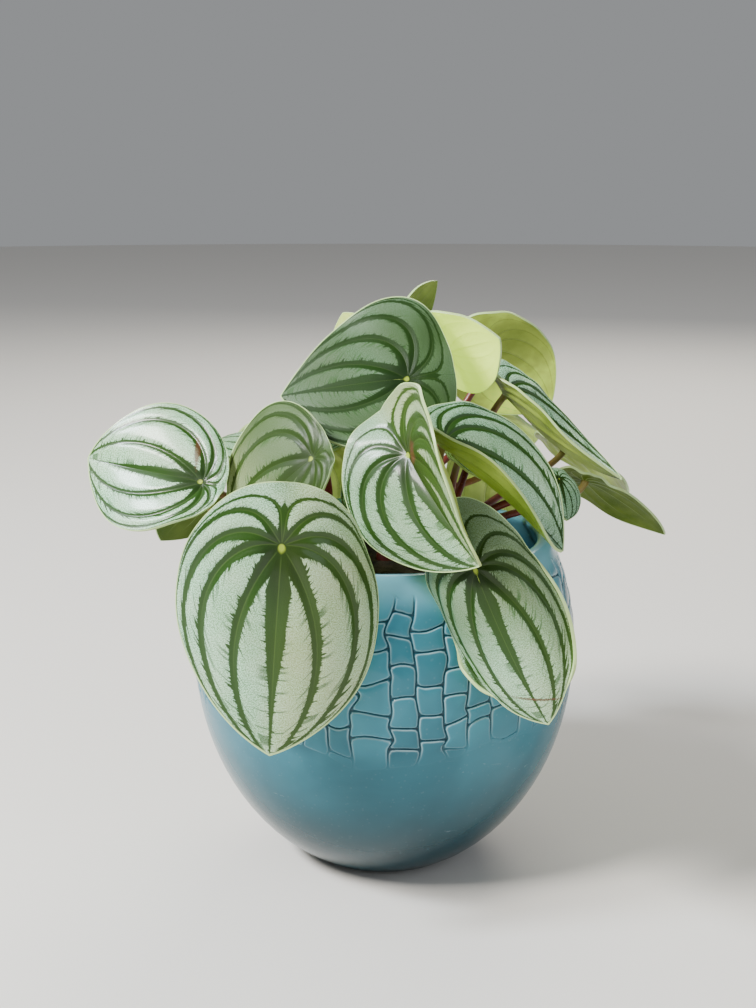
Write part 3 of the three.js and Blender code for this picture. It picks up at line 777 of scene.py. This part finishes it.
def bladePoint(blade, x, y):  # the bent blade's point for a place on the flat one
    droop = math.radians(blade["droop"]) / blade["tipLength"]
    back = math.radians(blade["back"]) / blade["baseLength"]
    forward, forwardZ = arc(0, -droop, max(y, 0))
    backward, backwardZ = arc(0, -back, min(y, 0))
    lean = -(droop * max(y, 0) + back * min(y, 0))
    side = int(x >= 0)  # 0 is the left half, 1 the right
    fold, curl = math.radians(blade["fold"][side]), math.radians(blade["curl"][side])
    across, raised = arc(fold, curl / blade["width"][side], abs(x))
    alongY = forward + backward - math.sin(lean) * raised
    upZ = forwardZ + backwardZ + math.cos(lean) * raised
    twist = math.radians(blade["twist"]) * min(max(y / blade["tipLength"], -1), 1)
    sideX = math.copysign(across, x)
    return (blade["hub"] + blade["sideways"] * (sideX * math.cos(twist) - upZ * math.sin(twist))
            + blade["lengthways"] * alongY
            + blade["normal"] * (sideX * math.sin(twist) + upZ * math.cos(twist)))


def veinNumber(angle, out):  # 0 on the midrib, 1 to 5 on the side veins
    paths = [start * max(1 - out ** power, 0) ** bend for start, power, bend in veinPaths] + [180]
    numbers = [*range(len(veinPaths)), backNumber]
    for low, high, first, second in zip(paths, paths[1:], numbers, numbers[1:]):
        if angle <= high:
            return first + (second - first) * (angle - low) / max(high - low, 1e-6)
    return backNumber


def veinSpacing(marks, around, rings, column, row):  # millimetres from one vein to the next, across them
    alongRing = [marks[place, row] for place in (max(column - 1, 0), min(column + 1, around))]
    outwards = [marks[column, place] for place in (max(row - 1, 0), min(row + 1, rings))]
    changes = [[after[key] - before[key] for key in ("number", "x", "y")]
               for before, after in (alongRing, outwards)]
    (ringNumber, ringX, ringY), (outNumber, outX, outY) = changes
    area = ringX * outY - ringY * outX
    slopeX = ringNumber * outY - ringY * outNumber
    slopeY = ringX * outNumber - ringNumber * outX
    return min(abs(area) / max(math.hypot(slopeX, slopeY), 1e-6), bladeShape["widestSpacing"])


def veinRelief(number, out, spacing):  # how far the skin lies above its smooth form, in millimetres
    b = bladeShape
    away = abs(number - round(number)) if number < backNumber - 0.2 else 0.5  # no vein straight behind
    depth = b["midribRelief"] + (1 - b["midribRelief"]) * smooth(0, 1, number)
    if number > firstBackVein:
        depth = b["backRelief"]
    sunk = math.exp(-(away * spacing / b["veinWidth"]) ** 2)
    envelope = smooth(*b["reliefStarts"], out) * (1 - (1 - b["edgeRelief"]) * smooth(*b["reliefEnds"], out))
    return b["veinDepth"] * envelope * depth * (b["swollen"] - sunk)


def rolledPoint(blade, x, y, roll):  # on a margin that rolls up by an angle past this place
    aside, farther = 0.05, 1.01  # how far off its neighbours are, in millimetres and as a share
    radius = bladeShape["rollRadius"]
    here = bladePoint(blade, x, y)
    acrossWay = bladePoint(blade, x + aside, y) - here
    alongWay = bladePoint(blade, x, y + aside) - here
    up = acrossWay.cross(alongWay).normalized()
    outward = (bladePoint(blade, x * farther, y * farther) - here).normalized()
    return here + outward * radius * math.sin(roll) + up * radius * (1 - math.cos(roll))


def markBlade(blade, index, around, rings, turnStep, ringStep):  # what the skin needs to know at one place
    turn = turnStep / around
    out = 1 - (1 - ringStep / rings) ** bladeShape["ringCrowding"]
    share = (1 - math.cos(2 * math.pi * turn)) / 2
    side, sign = (1, 1) if turn < 0.5 else (0, -1)
    edgeX = sign * halfWidth(share, blade["width"][side], blade["fullness"][side])
    edgeY = share * (blade["baseLength"] + blade["tipLength"]) - blade["baseLength"]
    x, y = edgeX * out, edgeY * out
    number = sign * veinNumber(abs(math.degrees(math.atan2(edgeX, edgeY))), out)
    amount, start, end = blade["roll"][side]
    roll = (amount * smooth(start, start + bladeShape["rollStarts"], share)
            * smooth(end, end - bladeShape["rollEnds"], share))
    markX, markY, halfLong, halfWide, tilt = blade["blemish"]
    alongMark = (x - markX) * math.cos(tilt) + (y - markY) * math.sin(tilt)
    acrossMark = (y - markY) * math.cos(tilt) - (x - markX) * math.sin(tilt)
    flat = (x / 100 + index * 1.7, y / 100)  # each blade reads the noise at a place of its own
    return {"number": number, "out": out, "x": x, "y": y, "edge": math.hypot(edgeX, edgeY), "roll": roll,
            "maps": ((number, out), flat, (alongMark / halfLong, acrossMark / halfWide))}


def placeMark(blade, mark):  # the point of the blade's smooth form
    radius = bladeShape["rollRadius"]
    rollFrom = radius * math.sin(min(mark["roll"] / radius, math.pi / 2))
    depth = mark["edge"] * (1 - mark["out"])
    if depth >= rollFrom:
        return bladePoint(blade, mark["x"], mark["y"]) * mm
    back = (1 - rollFrom / mark["edge"]) / mark["out"]
    turned = mark["roll"] / radius * (1 - depth / rollFrom)
    return rolledPoint(blade, mark["x"] * back, mark["y"] * back, turned) * mm


def skinLift(blade, index, mark, spacing):  # sunken veins, a dimple at the hub and a wavy margin
    b = bladeShape
    x, y, out = mark["x"], mark["y"], mark["out"]
    turn = math.atan2(x, y)
    waves = math.sin(turn * 5 + index * 2.1) + 0.6 * math.sin(turn * 9 + index)
    lift = (veinRelief(abs(mark["number"]), out, spacing) * blade["relief"]
            - b["dimple"] * math.exp(-(x * x + y * y) / b["dimpleRadius"] ** 2)
            + b["edgeWave"] * out ** 4 * waves)
    return lift * min(1, blade["tipLength"] / b["fullReliefLength"])


def skinLooks(blade, index, mark, spacing):  # what the materials read at one place
    b = bladeShape
    x, y = mark["x"], mark["y"]
    patch = noise.noise(Vector((x / b["patchSize"], y / b["patchSize"], index * 3.3)))
    toRight = smooth(-b["tintBlend"], b["tintBlend"], x)
    left, right = blade["tint"]
    tint = left + (right - left) * toRight
    # the silver is dulled, partly as painted shade, less towards the lit tip
    dullAndShade = blade["dullAndShade"] * (1 - blade["litTip"] * smooth(*b["tipLitSpan"], y / blade["tipLength"]))
    looks = {"tint": tint + b["patchTint"] * patch * (0.3 + tint), "dullAndShade": dullAndShade + b["patchDullShade"] * patch,
             "under": blade["under"] + b["patchUnder"] * patch}
    looks = {key: min(max(value, 0), 1) for key, value in looks.items()}
    looks["spacing"] = spacing / (blade["stripes"] * (1 + blade["leftWider"] * (1 - toRight)))
    return looks


def buildBlade(index, name, values):
    blade = bladeFrame(values)
    around, rings = bladeShape["small" if blade["tipLength"] < bladeShape["smallLength"] else "large"]
    scale = bladeShape["usualLength"] / blade["tipLength"]
    bm = bmesh.new()
    maps = [bm.loops.layers.uv.new(key) for key in ("veins", "flat", "blemish")]
    layers = {key: bm.verts.layers.float.new(key) for key in ("spacing", "tint", "dullAndShade", "under")}
    bmesh.ops.create_grid(bm, x_segments=around, y_segments=rings, size=1)
    placed = {}  # column and row of each point
    for vert in bm.verts:
        placed[vert] = (round((vert.co.x + 1) / 2 * around), round((vert.co.y + 1) / 2 * rings))
    marks = {place: markBlade(blade, index, around, rings, *place) for place in placed.values()}
    for face in bm.faces:
        for loop in face.loops:
            for layer, spot in zip(maps, marks[placed[loop.vert]]["maps"]):
                loop[layer].uv = spot
    for vert, place in placed.items():
        vert.co = placeMark(blade, marks[place])
    bmesh.ops.remove_doubles(bm, verts=bm.verts[:], dist=bladeShape["mergeWithin"] * mm)
    if sum((face.normal * face.calc_area() for face in bm.faces), Vector()).dot(blade["normal"]) < 0:
        bmesh.ops.reverse_faces(bm, faces=bm.faces[:])
    bm.normal_update()
    normals = {vert: vert.normal.copy() for vert in bm.verts}
    for vert, normal in normals.items():
        mark = marks[placed[vert]]
        spacing = veinSpacing(marks, around, rings, *placed[vert]) * scale
        vert.co += normal * skinLift(blade, index, mark, spacing) * mm
        for key, value in skinLooks(blade, index, mark, spacing).items():
            vert[layers[key]] = value
    title = "blade" + "".join(word.capitalize() for word in name.split("_"))
    piece = finishPiece(title, bm, [bladeUpper, bladeUnder, bladeRim], ["blade_" + name])
    wall = piece.modifiers.new("thickness", "SOLIDIFY")
    wall.thickness = bladeShape["thickness"] * mm
    wall.offset = 0
    wall.material_offset = 1
    wall.material_offset_rim = 2
    rounded = piece.modifiers.new("roundEdge", "BEVEL")
    rounded.width = bladeShape["roundEdge"] * mm
    rounded.segments = 2
    rounded.limit_method = "ANGLE"
    rounded.angle_limit = math.radians(bladeShape["roundAngle"])


# blade skins

veinValues = {
    # half widths of a stripe in millimetres on a blade of the usual length: by the share of the way from
    # the hub to the edge, and how much of that each pair of veins has
    "stripeWidths": [(0, 4), (0.08, 3.4), (0.15, 2.5), (0.35, 1.8), (0.55, 1.5), (0.72, 1.25), (0.83, 0.95),
                     (0.92, 0.65), (1, 0.3)],
    "stripeShares": [(0, 1.7), (0.2, 1.05), (0.4, 1.15), (0.6, 1.15), (0.8, 0.75), (1, 0.5)],
    "stripeEdge": (-0.14, 0.2), "swell": 0.6, "swellScale": 12, "fringe": 0.7, "fringeScale": 150,
    "midribTaper": 1.1, "midribTapers": (0.4, 0.85),  # how much narrower the midrib ends, and where
    # thin lashes at a stripe's sides, in millimetres
    "lashEvery": 0.75, "lashLength": 0.95, "lashSlant": 0.7, "lashCut": (0.5, 0.75), "lashMore": 0.2,
    # the trunk behind the hub, from which the back veins leave
    "trunkWidth": 3.5, "trunkTaper": 3, "trunkEnds": (0.74, 0.5),
    # the fine line along a vein: its half width, and where it starts and ends
    "lineWidth": (0.34, 0.06), "lineStarts": (0.03, 0.08), "lineEnds": (0.9, 0.5),
    # hair-thin side veins: how many along a blade, their slant, width and reach, and which veins have them
    "twigs": 11, "twigSlant": 0.09, "twigWidth": (0.028, 0.008), "twigReach": (5, 2.5),
    "twigRanks": (0.7, 0.3),
    # shares of the way from the hub to the edge
    "hub": (0.044, 0.018), "heart": (0.4, 0.08), "edge": (0.985, 0.994),
    "grainScale": 260, "patchScale": 7, "patchCut": (0.32, 0.7),
}


def ramp(tree, value, stops):  # a value read off a line through the stops
    most = max(level for _, level in stops)
    node = addNode(tree, "ShaderNodeValToRGB")
    plug(tree, value, node.inputs["Fac"])
    elements = node.color_ramp.elements
    while len(elements) < len(stops):
        elements.new(1)
    for element, (place, level) in zip(elements, stops):
        element.position = place
        element.color = (level / most, level / most, level / most, 1)
    return times(tree, node.outputs["Color"], most)


def makeVeinGroup():  # masks that follow the veins, shared by the three skins of a blade
    v = veinValues
    group, given, result = newGroup(
        "veinPattern", ["Veins", "Flat"], ["Spacing", "Narrow"],
        ["Stripe", "Midline", "Twigs", "Edge", "Hub", "Grain", "Patches", "Heart"])
    veins = split(group, given["Veins"])
    number, out, flat, narrow = veins["X"], veins["Y"], given["Flat"], given["Narrow"]
    nearest = mathNode(group, "ROUND", number)
    rank = times(group, absolute(group, nearest), 0.2)  # 0 on the midrib, 1 on the fifth pair of veins
    distance = times(group, mathNode(group, "PINGPONG", number, 0.5), given["Spacing"])
    swell = noiseAt(group, flat, v["swellScale"])
    fringe = minus(group, noiseAt(group, flat, v["fringeScale"], 2, 0.6), 0.5)

    def inside(halfWidth, away):  # 1 within a stripe, with a ragged edge
        ragged = timesPlus(group, fringe, v["fringe"], halfWidth)
        return step(group, minus(group, ragged, away), *v["stripeEdge"])

    # the midrib tapers more than the side veins
    midrib = minus(group, 1, absolute(group, nearest), clamp=True)
    taper = times(group, step(group, out, *v["midribTapers"]), midrib)
    share = timesPlus(group, taper, -v["midribTaper"], ramp(group, rank, v["stripeShares"]))
    width = times(group, times(group, ramp(group, out, v["stripeWidths"]), share), narrow)
    width = times(group, width, timesPlus(group, swell, v["swell"], 1 - v["swell"] / 2))
    # thin lashes leave the stripes at a slant towards the tip, and each side of a vein has its own noise
    sides = mathNode(group, "SIGN", minus(group, number, nearest))
    lane = timesPlus(group, nearest, 5.3, times(group, sides, 2.1))
    along = times(group, out, bladeShape["usualLength"] / v["lashEvery"])
    slant = timesPlus(group, distance, -v["lashSlant"] / v["lashEvery"], along)
    lashes = step(group, noiseAt(group, combine(group, slant, lane), 1, 1, 0.6), *v["lashCut"])
    lashReach = times(group, times(group, lashes, v["lashLength"]), narrow)
    lashShare = mathNode(group, "ADD", share, v["lashMore"])
    stripe = inside(timesPlus(group, lashReach, lashShare, width), distance)
    # the side veins behind the hub leave from one thick trunk
    toTrunk = times(group, minus(group, backNumber, absolute(group, number)), given["Spacing"])
    trunk = timesPlus(group, out, -v["trunkTaper"], v["trunkWidth"])
    trunk = times(group, times(group, trunk, step(group, out, *v["trunkEnds"])), narrow)
    line = times(group, step(group, distance, *v["lineWidth"]), step(group, out, *v["lineEnds"]))
    twigPlace = timesPlus(group, distance, -v["twigSlant"], times(group, out, v["twigs"]))
    twigPlace = combine(group, twigPlace, lane, times(group, swell, 0.3))
    twigs = absolute(group, minus(group, noiseAt(group, twigPlace, 1, 1), 0.5))
    twigs = times(group, step(group, twigs, *v["twigWidth"]), step(group, rank, *v["twigRanks"]))
    masks = {
        "Stripe": mathNode(group, "MAXIMUM", stripe, inside(trunk, toTrunk)),
        "Midline": times(group, line, step(group, out, *v["lineStarts"])),
        "Twigs": times(group, twigs, step(group, distance, *v["twigReach"])),
        "Edge": step(group, out, *v["edge"]), "Hub": step(group, out, *v["hub"]),
        "Heart": step(group, out, *v["heart"]), "Grain": noiseAt(group, flat, v["grainScale"], 3, 0.7),
        "Patches": step(group, noiseAt(group, flat, v["patchScale"], 3, 0.6), *v["patchCut"]),
    }
    for name, mask in masks.items():
        plug(group, mask, result[name])
    return group


veinGroup = makeVeinGroup()


def veinMasks(tree, narrow=1.0):  # narrow is the share that the stripes have of their width
    return useGroup(tree, veinGroup, Veins=uvPlace(tree, "veins"), Flat=uvPlace(tree, "flat"),
                    Narrow=narrow, Spacing=attribute(tree, "spacing"))


rimColour = (186, 214, 148)
skinValues = {
    # a base colour and what lies over it: mask, share, colour
    "silver": (84, 138, 84),
    "silverLayers": [
        ("Speckle", 1, (180, 228, 196)), ("Patches", 0.25, (206, 218, 196)), ("Tint", 0.7, (202, 190, 112)),
        # the dull green is partly painted shade
        ("DullAndShade", 1, (56, 80, 42)), ("Twigs", 0.7, (40, 80, 24)),
    ],
    "stripe": (16, 48, 3),
    "stripeLayers": [
        ("Grain", 1, (38, 76, 6)), ("Heart", 0.85, (12, 36, 4)), ("Tint", 0.45, (84, 104, 16)),
        # the darker stripes on dull blades are partly painted shade
        ("Midline", 0.14, (110, 140, 64)), ("DullAndShade", 0.6, (10, 34, 2)),
    ],
    "topLayers": [("Edge", 1, rimColour), ("Hub", 1, (150, 170, 50)), ("Blemish", 0.85, (88, 56, 34))],
    "under": (84, 108, 26),
    "underLayers": [
        # the lighter underside is partly its own paleness and partly painted light through the blade; the
        # darker one is painted shade
        ("Light", 1, (234, 254, 122)), ("Dark", 0.6, (38, 54, 14)), ("Stripe", 0.35, (70, 96, 20)),
        ("Midline", 0.5, (190, 204, 124)), ("Edge", 1, rimColour),
    ],
    "glowLayers": [("Glow", 1, (200, 244, 66))],
    "rimLayers": [("Patches", 1, (176, 196, 120))],
    # where a mask starts and is full
    "speckles": (0.4, 0.6), "blemish": (1.8, 1.2), "paintedShadeUnder": (0.6, 1), "glow": (0.45, 1),
    # how ragged a brown mark is, how much an underside is lit in patches, how wide its stripes are
    "blemishRagged": 1.4, "underPatches": 0.15, "underStripes": 0.3,
    "upperRoughness": 0.2, "upperRougher": {"Grain": 0.16, "Stripe": 0.12, "DullAndShade": 0.08},
    "underRoughness": 0.34, "underRougher": {"Grain": 0.2},
    "coat": 0.38,
    "upperHeight": {"Midline": -0.6}, "underHeight": {"Midline": 0.8},  # added to the grain's height
}


def blemishMask(tree, grain):  # 1 on a blade's brown mark, with a ragged edge
    v = skinValues
    length = addNode(tree, "ShaderNodeVectorMath", operation="LENGTH")
    plug(tree, uvPlace(tree, "blemish"), length.inputs[0])
    return step(tree, timesPlus(tree, grain, v["blemishRagged"], length.outputs["Value"]), *v["blemish"])


def makeUpper():
    v = skinValues
    material, tree, shader = newMaterial(
        "silverSkin", IOR=1.45, Specular_IOR_Level=0.25, Coat_Roughness=0.16)
    masks = veinMasks(tree)
    masks.update({
        "Tint": attribute(tree, "tint"), "DullAndShade": attribute(tree, "dullAndShade"),
        "Speckle": step(tree, masks["Grain"], *v["speckles"]), "Blemish": blemishMask(tree, masks["Grain"]),
    })
    silver = layered(tree, rgb(*v["silver"]), masks, v["silverLayers"])
    stripe = layered(tree, rgb(*v["stripe"]), masks, v["stripeLayers"])
    colour = mix(tree, masks["Stripe"], silver, stripe)
    height = summed(tree, masks["Grain"], masks, v["upperHeight"])
    setSockets(tree, shader, Base_Color=layered(tree, colour, masks, v["topLayers"]),
               Roughness=summed(tree, v["upperRoughness"], masks, v["upperRougher"]),
               Coat_Weight=summed(tree, v["coat"], masks, {"DullAndShade": -v["coat"]}),
               Normal=bump(tree, height, 0.35, 0.3 * mm))
    return material


def makeUnder():
    v = skinValues
    material, tree, shader = newMaterial(
        "paleUnderside", IOR=1.45, Specular_IOR_Level=0.3, Emission_Strength=1.0)
    masks = veinMasks(tree, v["underStripes"])
    # how light an underside is: partly its own paleness, partly painted light through it
    light = timesPlus(tree, masks["Patches"], v["underPatches"], attribute(tree, "under"), clamp=True)
    masks.update({
        "Light": light, "Glow": step(tree, light, *v["glow"]),
        # painted shade on the underside of dull, shaded blades
        "Dark": step(tree, attribute(tree, "dullAndShade"), *v["paintedShadeUnder"]),
    })
    glow = layered(tree, rgb(0, 0, 0), masks, v["glowLayers"])  # a painted glow, emission that stands in for light coming through thin blades
    height = summed(tree, masks["Grain"], masks, v["underHeight"])
    setSockets(tree, shader, Base_Color=layered(tree, rgb(*v["under"]), masks, v["underLayers"]),
               Roughness=summed(tree, v["underRoughness"], masks, v["underRougher"]),
               Emission_Color=glow, Normal=bump(tree, height, 0.3, 0.3 * mm))
    return material


def makeRim():
    material, tree, shader = newMaterial("paleRim", Roughness=0.4)
    masks = veinMasks(tree)
    setSockets(tree, shader, Base_Color=layered(tree, rgb(*rimColour), masks, skinValues["rimLayers"]),
               Normal=bump(tree, masks["Grain"], 0.2, 0.2 * mm))
    return material


bladeUpper, bladeUnder, bladeRim = makeUpper(), makeUnder(), makeRim()
for bladeIndex, (bladeName, bladeValues) in enumerate(blades.items()):
    buildBlade(bladeIndex, bladeName, bladeValues)
print("blades done")


# crowns with their stalks

stalkValues = {
    # a stalk's half width, and how it thins out, swells at its two ends and varies
    "radius": 1.5, "thin": 0.86, "footSwell": 0.14, "footEnds": 0.1, "tipSwell": 0.3, "tipStarts": 0.955,
    "uneven": 0.05,
    "sides": 14, "steps": 44, "startZ": 109, "lean": 4, "intoBlade": 1,
    "stem": [(0, 94), (4, 94), (5, 97), (5, 107), (3, 111), (0, 111)], "stemSides": 28,
    "roughness": 0.3, "rougher": {"Fine": 0.2}, "greenTip": (0.6, 1),
    "red": (126, 50, 44),
    # colours over the red: mask, share, colour
    "layers": [("Patches", 1, (84, 28, 28)), ("Specks", 0.45, (176, 104, 84)), ("Tip", 0.6, (132, 140, 70))],
}


def bezier(points, share):
    a, b, c, d = points
    rest = 1 - share
    return a * rest ** 3 + b * 3 * rest * rest * share + c * 3 * rest * share * share + d * share ** 3


def addStalk(bm, alongLayer, seed, values):
    v = stalkValues
    blade = bladeFrame(values)
    start = Vector((*crowns[blade["crown"]], v["startZ"]))
    outward = blade["hub"] - start
    outward.z = 0
    outward.normalize()
    leaving = start + outward * v["lean"] + Vector((0, 0, blade["rise"]))
    neck = blade["hub"] - blade["normal"] * blade["neck"] - Vector((0, 0, blade["sag"]))
    end = blade["hub"] - blade["normal"] * v["intoBlade"]
    path = (start, leaving, neck, end)
    frameUp = Vector((1, 0, 0))
    previous = None
    for index in range(v["steps"] + 1):
        share = index / v["steps"]
        here = bezier(path, share)
        ahead = (bezier(path, min(share + 0.01, 1)) - bezier(path, max(share - 0.01, 0))).normalized()
        frameUp = (frameUp - ahead * frameUp.dot(ahead)).normalized()
        swell = (1 + v["footSwell"] * smooth(v["footEnds"], 0, share)
                 + v["tipSwell"] * smooth(v["tipStarts"], 1, share))
        wander = 1 + v["uneven"] * noise.noise(Vector((share * 6, seed, 0)))
        radius = v["radius"] * (v["thin"] + (1 - v["thin"]) * (1 - share)) * swell * wander
        turned = Matrix((frameUp, ahead.cross(frameUp), ahead)).transposed()
        if previous is None:
            made = bmesh.ops.create_circle(bm, cap_ends=True, segments=v["sides"], radius=radius * mm)
            ring = made["verts"]
            edges = list(dict.fromkeys(edge for vert in ring for edge in vert.link_edges))
            spots = {vert: vert.co.copy() for vert in ring}
        else:
            ring, edges = extruded(bm, edges)
            back = previous[0].inverted()
            spots = {vert: back @ (vert.co - previous[1]) * (radius / previous[2]) for vert in ring}
        for vert, spot in spots.items():
            vert.co = turned @ spot + here * mm
            vert[alongLayer] = share
        previous = (turned, here * mm, radius)
    bmesh.ops.edgeloop_fill(bm, edges=[edge for edge in edges if edge.is_boundary])


def buildCrown(name, spot):
    v = stalkValues
    bm = bmesh.new()
    alongLayer = bm.verts.layers.float.new("along")
    profile = [bm.verts.new(Vector((radius, 0, z)) * mm) for radius, z in v["stem"]]
    line = [bm.edges.new(pair) for pair in zip(profile, profile[1:])]
    bmesh.ops.spin(bm, geom=profile + line, axis=(0, 0, 1), cent=(0, 0, 0), angle=2 * math.pi,
                   steps=v["stemSides"], use_merge=True)
    bmesh.ops.translate(bm, vec=Vector((*spot, 0)) * mm, verts=bm.verts[:])
    bmesh.ops.remove_doubles(bm, verts=bm.verts[:], dist=0.01 * mm)
    for seed, values in enumerate(blades.values()):
        if values["crown"] == name:
            addStalk(bm, alongLayer, seed, values)
    bmesh.ops.recalc_face_normals(bm, faces=bm.faces[:])
    finishPiece("crown" + name.capitalize() + "Stalks", bm, [stalkSkin], ["crown_" + name])


def makeStalkSkin():
    v = stalkValues
    material, tree, shader = newMaterial("redStalk", Coat_Weight=0.1, IOR=1.42)
    masks = useGroup(tree, mottleGroup, Vector=objectPlace(tree), Patch=90.0, Grain=700.0)
    masks["Tip"] = step(tree, attribute(tree, "along"), *v["greenTip"])
    setSockets(tree, shader, Base_Color=layered(tree, rgb(*v["red"]), masks, v["layers"]),
               Roughness=summed(tree, v["roughness"], masks, v["rougher"]),
               Normal=bump(tree, masks["Fine"], 0.3, 0.3 * mm))
    return material


stalkSkin = makeStalkSkin()
for crownName, crownSpot in crowns.items():
    buildCrown(crownName, crownSpot)
print("stalks done")


# floor, light and camera

stageValues = {
    "floorRadius": 4, "floorColour": (226, 222, 216), "sky": (222, 225, 228), "skyStrength": 0.4,
    # name: place in metres, size in metres, power in watts, colour
    "lamps": {
        "softKey": ((-0.84, -0.62, 1.06), 0.36, 31, (255, 252, 246)),
        "windowGlow": ((-0.94, -0.32, 1.07), 0.26, 21, (236, 246, 255)),
        "sideFill": ((1.1, -0.9, 0.8), 1.1, 6, (236, 244, 255)),
        "backGlow": ((0.3, 1.2, 1.0), 0.9, 14, (255, 250, 238)),
    },
    "aim": (0, 0, 0.11), "cameraPlace": (-0.0022, -0.537, 0.256), "tilt": 13, "lens": 54,
}


def buildStage():
    v = stageValues
    bm = bmesh.new()
    bmesh.ops.create_circle(bm, cap_ends=True, segments=96, radius=v["floorRadius"])
    material, _, _ = newMaterial("paleFloor", Roughness=0.8, Base_Color=rgb(*v["floorColour"]))
    addMesh("paleFloor", bm, [material])

    world = bpy.data.worlds.new("softRoom")
    bpy.context.scene.world = world
    world.use_nodes = True
    background = world.node_tree.nodes["Background"]
    setSockets(world.node_tree, background, Color=rgb(*v["sky"]), Strength=v["skyStrength"])

    for name, (place, size, power, colour) in v["lamps"].items():
        lamp = bpy.data.lights.new(name, "AREA")
        lamp.shape = "DISK"
        lamp.size = size
        lamp.energy = power
        lamp.color = rgb(*colour)[:3]
        aim = Vector(v["aim"]) - Vector(place)
        addObject(name, lamp, place, aim.to_track_quat("-Z", "Y").to_euler())

    camera = bpy.data.cameras.new("photoCamera")
    camera.lens = v["lens"]
    camera.sensor_width = 36
    camera.clip_start = 0.01
    turn = (math.radians(90 - v["tilt"]), 0, 0)
    bpy.context.scene.camera = addObject("photoCamera", camera, v["cameraPlace"], turn)


buildStage()
print("stage done")
